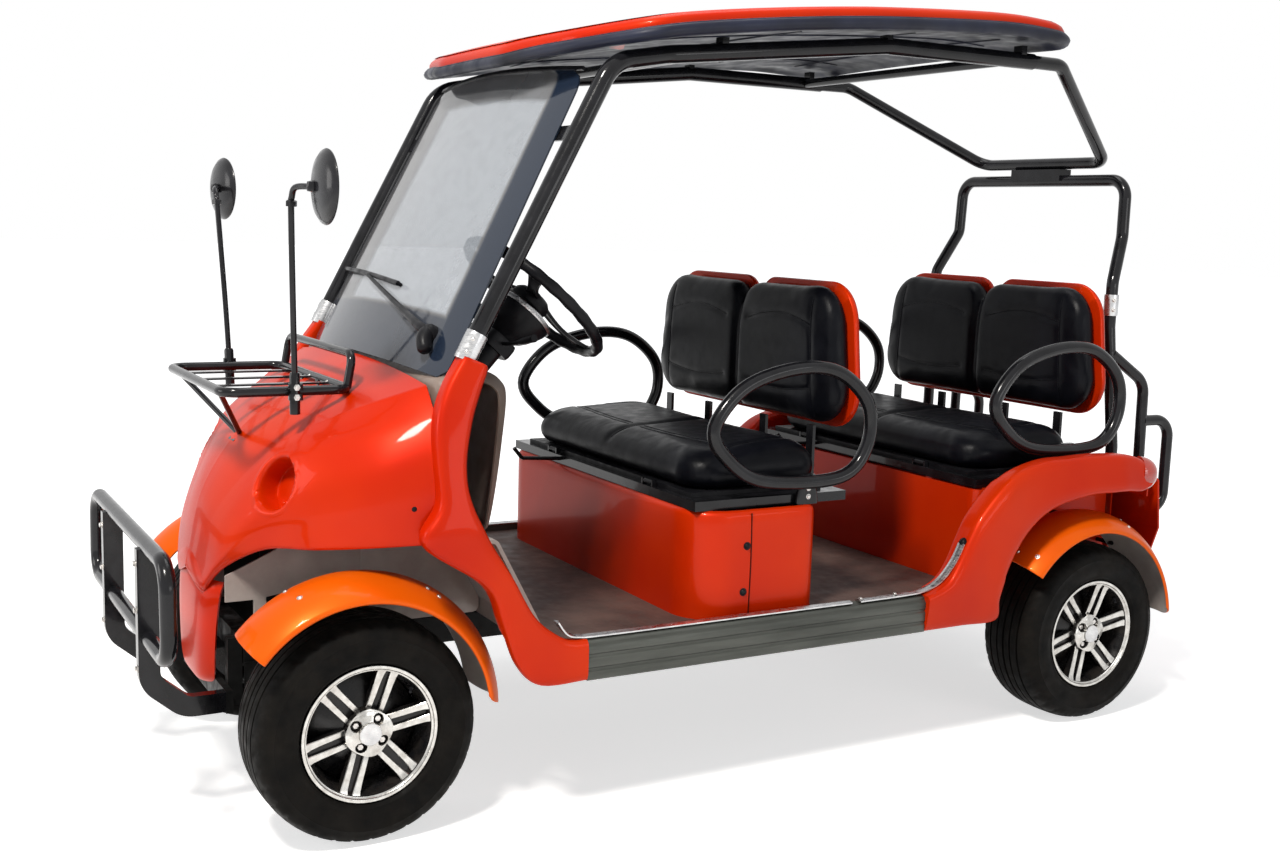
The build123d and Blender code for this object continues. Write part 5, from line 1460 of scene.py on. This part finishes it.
# ---- sills and their trim
def sill_profile(side):
    """The extrusion's section: a stepped top, two deep grooves and a lower lip."""
    y = lambda d: side * (0.530 + d)
    pts = [(0.0, 0.304), (0.030, 0.304), (0.032, 0.307), (0.032, 0.322), (0.0295, 0.325), (0.0295, 0.329),
           (0.032, 0.332), (0.032, 0.351), (0.0295, 0.354), (0.0295, 0.358), (0.032, 0.361), (0.032, 0.374),
           (0.0300, 0.378), (0.0260, 0.381), (0.0260, 0.385), (0.0245, 0.388), (0.012, 0.3905),
           (0.009, 0.3920), (0.0, 0.3920)]
    return [(y(d), z) for d, z in pts]


for name, side in SIDES:
    prof = sill_profile(side)
    loops = [[(x, y, z) for y, z in prof] for x in np.linspace(-0.545, 0.350, 12)]
    sill = loft(f"sill_{name}", loops, "chassis", "sill_aluminium", smooth=30)
    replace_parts(sill, "sills")


TRIM_Y = 0.541
TRIM_FRONT = ((-0.612, 0.545, 0.432), (-0.590, 0.544, 0.404), (-0.560, TRIM_Y, 0.3945),
              (-0.50, TRIM_Y, 0.3922), (-0.20, TRIM_Y, 0.3922), (0.14, TRIM_Y, 0.3922))
TRIM_REAR = ((0.165, TRIM_Y, 0.3925), (0.30, TRIM_Y, 0.3940), (0.360, TRIM_Y, 0.399), (0.405, 0.544, 0.4195),
             (0.440, 0.548, 0.4615), (0.462, 0.550, 0.505))
# across and up from the line
TRIM_SECTION = ((-0.011, 0.0), (-0.011, 0.003), (-0.005, 0.0042), (0.0, 0.0062), (0.005, 0.0042),
                (0.011, 0.003), (0.011, 0.0))


def trim_strip(name, side, points):
    """A bright strip with a raised middle that follows the door opening."""
    line = spline([(x, side * y, z) for x, y, z in points])
    tan = np.gradient(line, axis=0)
    tan /= np.linalg.norm(tan, axis=1)[:, None]
    loops = []
    across = np.array((0, side, 0.0))
    for p, t in zip(line, tan):
        up = np.cross(t, across)
        up /= np.linalg.norm(up)
        if up[2] < 0:
            up = -up
        loops.append([p + across * a + up * b for a, b in TRIM_SECTION])
    loft(name, loops, "chassis", "clamp_steel")


for name, side in SIDES:
    trim_strip(f"door_trim_front_{name}", side, TRIM_FRONT)
    trim_strip(f"door_trim_rear_{name}", side, TRIM_REAR)
    bolt(f"trim_plug_{name}", (0.463, side * 0.551, 0.509), (-0.86, 0, 0.50), 0.0085, "plastic_black",
         "plastic_black")
    for k, (x, z) in enumerate(((0.172, 0.398), (0.272, 0.3995))):
        bolt(f"trim_screw_{name}_{k}", (x, side * TRIM_Y, z), (0, 0, 1), 0.0045)


# ---- clamps, rack and mirror fittings
def clamp(name, at, axis, out, radius, half, bolts, lugs=False):
    """A band round a tube with two bolts, given as step along the axis, distance from it and size."""
    rim = radius + 0.003
    prof = [(radius, -half), (rim, -half), (rim + 0.0003, 0.002 - half), (rim + 0.0003, half - 0.002),
            (rim, half), (radius, half)]
    parts = [turned(f"{name}_band", prof, at, axis, "chassis", "clamp_steel", 40, smooth=30)]
    step, reach, size = bolts
    for k in (-step, step):
        parts.append(bolt(f"{name}_bolt_{k}", at + axis * k + out * reach, out, size))
        if lugs:
            corners = [at + axis * (k + a) + out * 0.021 + out.cross(axis) * b
                       for a, b in ((-0.009, -0.009), (0.009, -0.009), (0.009, 0.009), (-0.009, 0.009))]
            lug = superloop(corners, 4, 20)
            parts.append(loft(f"{name}_lug_{k}", [lug, [Vector(p) + out * 0.0035 for p in lug]], "chassis",
                              "clamp_steel"))
    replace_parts(join(name, parts), "post_clamps")


for name, side in SIDES:
    out = Vector((-0.5, side * 0.85, 0.1)).normalized()
    out = (out - slant * out.dot(slant)).normalized()
    clamp(f"post_clamp_{name}", Vector((POST_FOOT.x, side * 0.475, POST_FOOT.z)) + slant * 0.028, slant, out,
          0.0192, 0.030, (0.014, 0.0222, 0.0048), lugs=True)
    clamp(f"hoop_clamp_{name}", Vector((1.118, side * 0.352, 1.060)), Vector((0, 0, 1)),
          Vector((-0.45, side * 0.9, 0)).normalized(), 0.0162, 0.028, (0.013, 0.0190, 0.0046))


MIRROR_HEAD = ((0.0, -0.016), (0.020, -0.0155), (0.042, -0.0125), (0.060, -0.007), (0.070, 0.000),
               (0.0722, 0.004), (0.0712, 0.0065), (0.0680, 0.0070), (0.0660, 0.0052), (0.0, 0.0052))
MIRROR_STEM = ((-1.066, 0.266, 0.871), (-1.072, 0.275, 1.02), (-1.082, 0.298, 1.235), (-1.083, 0.306, 1.270),
               (-1.081, 0.325, 1.288), (-1.066, 0.368, 1.290), (-1.062, 0.392, 1.290))


def make_mirror(name, side):
    black = ("chassis", "tube_black")
    # the near disc is turned to show its face as the photo does
    face = Vector((1.0, 0.01 if side < 0 else 0.13, 0)).normalized()
    head = turned(f"mirror_head_{name}", MIRROR_HEAD, (-1.048, side * 0.3985, 1.290), face, *black, 72,
                  ("mirror_back", "mirror_glass"), [0] * 8 + [1])
    stem = spline([(x, side * y, z) for x, y, z in MIRROR_STEM], 7)
    parts = [head, pipe(f"mirror_stem_{name}", stem, 0.0062, *black)]
    joint = [(0.0, -0.012), (0.010, -0.009), (0.012, 0.0), (0.010, 0.009), (0.0, 0.012)]
    parts.append(turned(f"mirror_joint_{name}", joint, (-1.066, side * 0.385, 1.290), (0, 0, 1), *black, 20,
                        smooth=60))
    nut = [(0.011, 0.0), (0.011, 0.010), (0.008, 0.012), (0.0, 0.012)]
    parts.append(turned(f"mirror_nut_{name}", nut, (-1.083, side * 0.303, 1.252), (0, 0.1 * side, 1), *black,
                        6, smooth=20))
    for k, z in enumerate((0.869, 0.889)):
        a, b = sorted((side * 0.258, side * 0.278))
        ring = superloop([(-1.080, a, z), (-1.052, a, z), (-1.052, b, z), (-1.080, b, z)], 4, 24)
        parts.append(loft(f"mirror_clip_{name}_{k}", [ring, [(x, y, h + 0.0125) for x, y, h in ring]],
                          *black))
        parts.append(bolt(f"mirror_bolt_{name}_{k}", (-1.066, side * 0.2782, z + 0.006), (0, side, 0), 0.0045,
                          "tube_black", "bolt", "hex"))
    socket = [(0.0105, -0.05), (0.0105, 0.030), (0.0085, 0.034), (0.0, 0.034)]
    parts.append(turned(f"mirror_socket_{name}", socket, (-1.067, side * 0.266, 0.890),
                        (-0.02, side * 0.04, 1), *black, 20))
    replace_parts(join(f"mirror_{name}", parts), "mirrors")


for name, side in SIDES:
    make_mirror(name, side)

for k, y in enumerate((-0.125, 0.0, 0.125)):
    for x in (-1.196, -0.956):
        bolt(f"rack_bolt_{k}_{x}", (x, y, 0.887), (0, 0, 1), 0.0042, "tube_black", "bolt")


# ---- bolts on the lower parts
for name, side in SIDES:
    for k, z in enumerate((0.33, 0.45, 0.545)):
        bolt(f"bull_bolt_{name}_{k}", (-1.366, side * 0.195, z), (-1, 0, 0), 0.0055, "tube_black", "bolt",
             "hex")
    for k, x in enumerate((-0.52, -0.30, -0.02, 0.32)):
        bolt(f"sill_bolt_{name}_{k}", (x, side * 0.5455, 0.304), (0, 0, -1), 0.005, "sill_aluminium", "bolt",
             "hex")
    for k, y in enumerate((0.42, 0.44)):
        bolt(f"deck_bolt_{name}_{k}", (1.00 + 0.05 * k, side * y, 0.618), (0, 0, 1), 0.0045)


# ---- armrests
ARMREST_Y, ARMREST_R = 0.490, 0.0158
RING = ((-0.212, 0.806), (-0.135, 0.892), (0.0, 0.930), (0.118, 0.918), (0.205, 0.842), (0.206, 0.742),
        (0.130, 0.676), (-0.080, 0.680), (-0.180, 0.738))


def make_armrests():
    parts = []
    for (bench, shift), rise in zip(BENCHES, (0.0, 0.032)):
        for name, side in SIDES:
            y = side * ARMREST_Y
            line = even(spline([(shift + x, y, z + rise) for x, z in RING], 10, True), 96)
            parts.append(pipe(f"ring_{bench}_{name}", line, ARMREST_R, "chassis", "tube_black", closed=True,
                              sides=20))
            low, high = sorted((side * 0.4705, side * 0.4858))
            foot = []
            for z, half in ((0.6185, 0.030), (0.6205, 0.0305), (0.640, 0.028), (0.664, 0.022),
                            (0.686 + rise, 0.020)):
                x0, x1 = shift + 0.050 - half, shift + 0.050 + half
                foot.append(superloop([(x0, low, z), (x1, low, z), (x1, high, z), (x0, high, z)], 4, 24))
            parts.append(loft(f"foot_{bench}_{name}", foot, "chassis", "tube_black"))
            for up in (0.636, 0.655):
                parts.append(bolt(f"foot_bolt_{bench}_{name}_{up}", (shift + 0.050, side * 0.4858, up),
                                  (0, side, 0), 0.0045, "tube_black", "bolt"))
    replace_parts(join("armrest_rings", parts), "armrests")


make_armrests()


# ---- floor and light
WORLD_LIGHT = 0.20
FLOOR_NEAR, FLOOR_FAR, FLOOR_WHITE = 1.6, 4.5, 0.64


def seen_white(tree):
    """1 for what the camera, gloss and glass see, and 0 for the light that falls on the object."""
    path = add_node(tree, "LightPath").outputs
    value = path["Is Camera Ray"]
    for ray in ("Is Glossy Ray", "Is Transmission Ray"):
        value = add_node(tree, "Math", links={0: value, 1: path[ray]}, operation="MAXIMUM").outputs[0]
    return value


def make_floor():
    mesh = bpy.data.meshes.new("floor")
    mesh.from_pydata([(-30, -20, 0), (40, -20, 0), (40, 50, 0), (-30, 50, 0)], [], [(0, 1, 2, 3)])
    floor = bpy.data.objects.new("floor", mesh)
    bpy.context.collection.objects.link(floor)
    m = Nodes("floor_white", (0.9, 0.9, 0.9), roughness=0.9, spec=0.1)
    # plain white is added to the lit floor, and more of it far from the object
    far = m.add("VectorMath", links={0: m.add("NewGeometry").outputs["Position"]},
                operation="LENGTH").outputs["Value"]
    share = m.add("MapRange", {"From Min": FLOOR_NEAR, "From Max": FLOOR_FAR, "To Min": FLOOR_WHITE,
                               "To Max": 1.0}, {"Value": far})
    strength = m.add("Math", links={0: seen_white(m.t), 1: share.outputs["Result"]}, operation="MULTIPLY")
    white = m.add("Emission", links={"Strength": strength.outputs[0]})
    both = m.add("AddShader", links={0: m.p.outputs[0], 1: white.outputs[0]})
    m.t.links.new(both.outputs[0], m.t.nodes["Material Output"].inputs["Surface"])
    mesh.materials.append(m.mat)


def studio():
    bpy.context.scene.view_settings.view_transform = "Standard"
    make_floor()
    world = bpy.data.worlds.new("world")
    bpy.context.scene.world = world
    world.use_nodes = True
    t = world.node_tree
    back = t.nodes["Background"]
    back.inputs["Color"].default_value = (0.92, 0.96, 1.0, 1)
    back.inputs["Strength"].default_value = WORLD_LIGHT
    white = add_node(t, "Background", {"Strength": 1.0, "Color": (1, 1, 1, 1)})
    pick = add_node(t, "MixShader", links={"Fac": seen_white(t), 1: back.outputs[0], 2: white.outputs[0]})
    t.links.new(pick.outputs[0], t.nodes["World Output"].inputs["Surface"])

    def lamp(name, at, aim, size, power, colour=(1, 1, 1)):
        data = bpy.data.lights.new(name, "AREA")
        data.shape, data.size, data.size_y = "RECTANGLE", size[0], size[1]
        data.energy, data.color = power, colour
        obj = bpy.data.objects.new(name, data)
        bpy.context.collection.objects.link(obj)
        obj.location = at
        obj.rotation_euler = (Vector(aim) - Vector(at)).to_track_quat("-Z", "Y").to_euler()

    lamp("key", (-3.1, -2.3, 5.2), (-0.2, 0, 0.6), (0.8, 0.8), 340, (1.0, 0.96, 0.90))
    lamp("front_fill", (-5.0, 1.2, 2.0), (-0.6, 0, 0.7), (2.0, 1.6), 42, (1.0, 0.98, 0.96))
    lamp("side_fill", (1.6, -4.6, 1.4), (0.3, 0, 0.6), (2.4, 0.9), 22)
    lamp("top", (0.4, 0.4, 4.8), (0, 0, 0), (2.2, 2.2), 45)


studio()
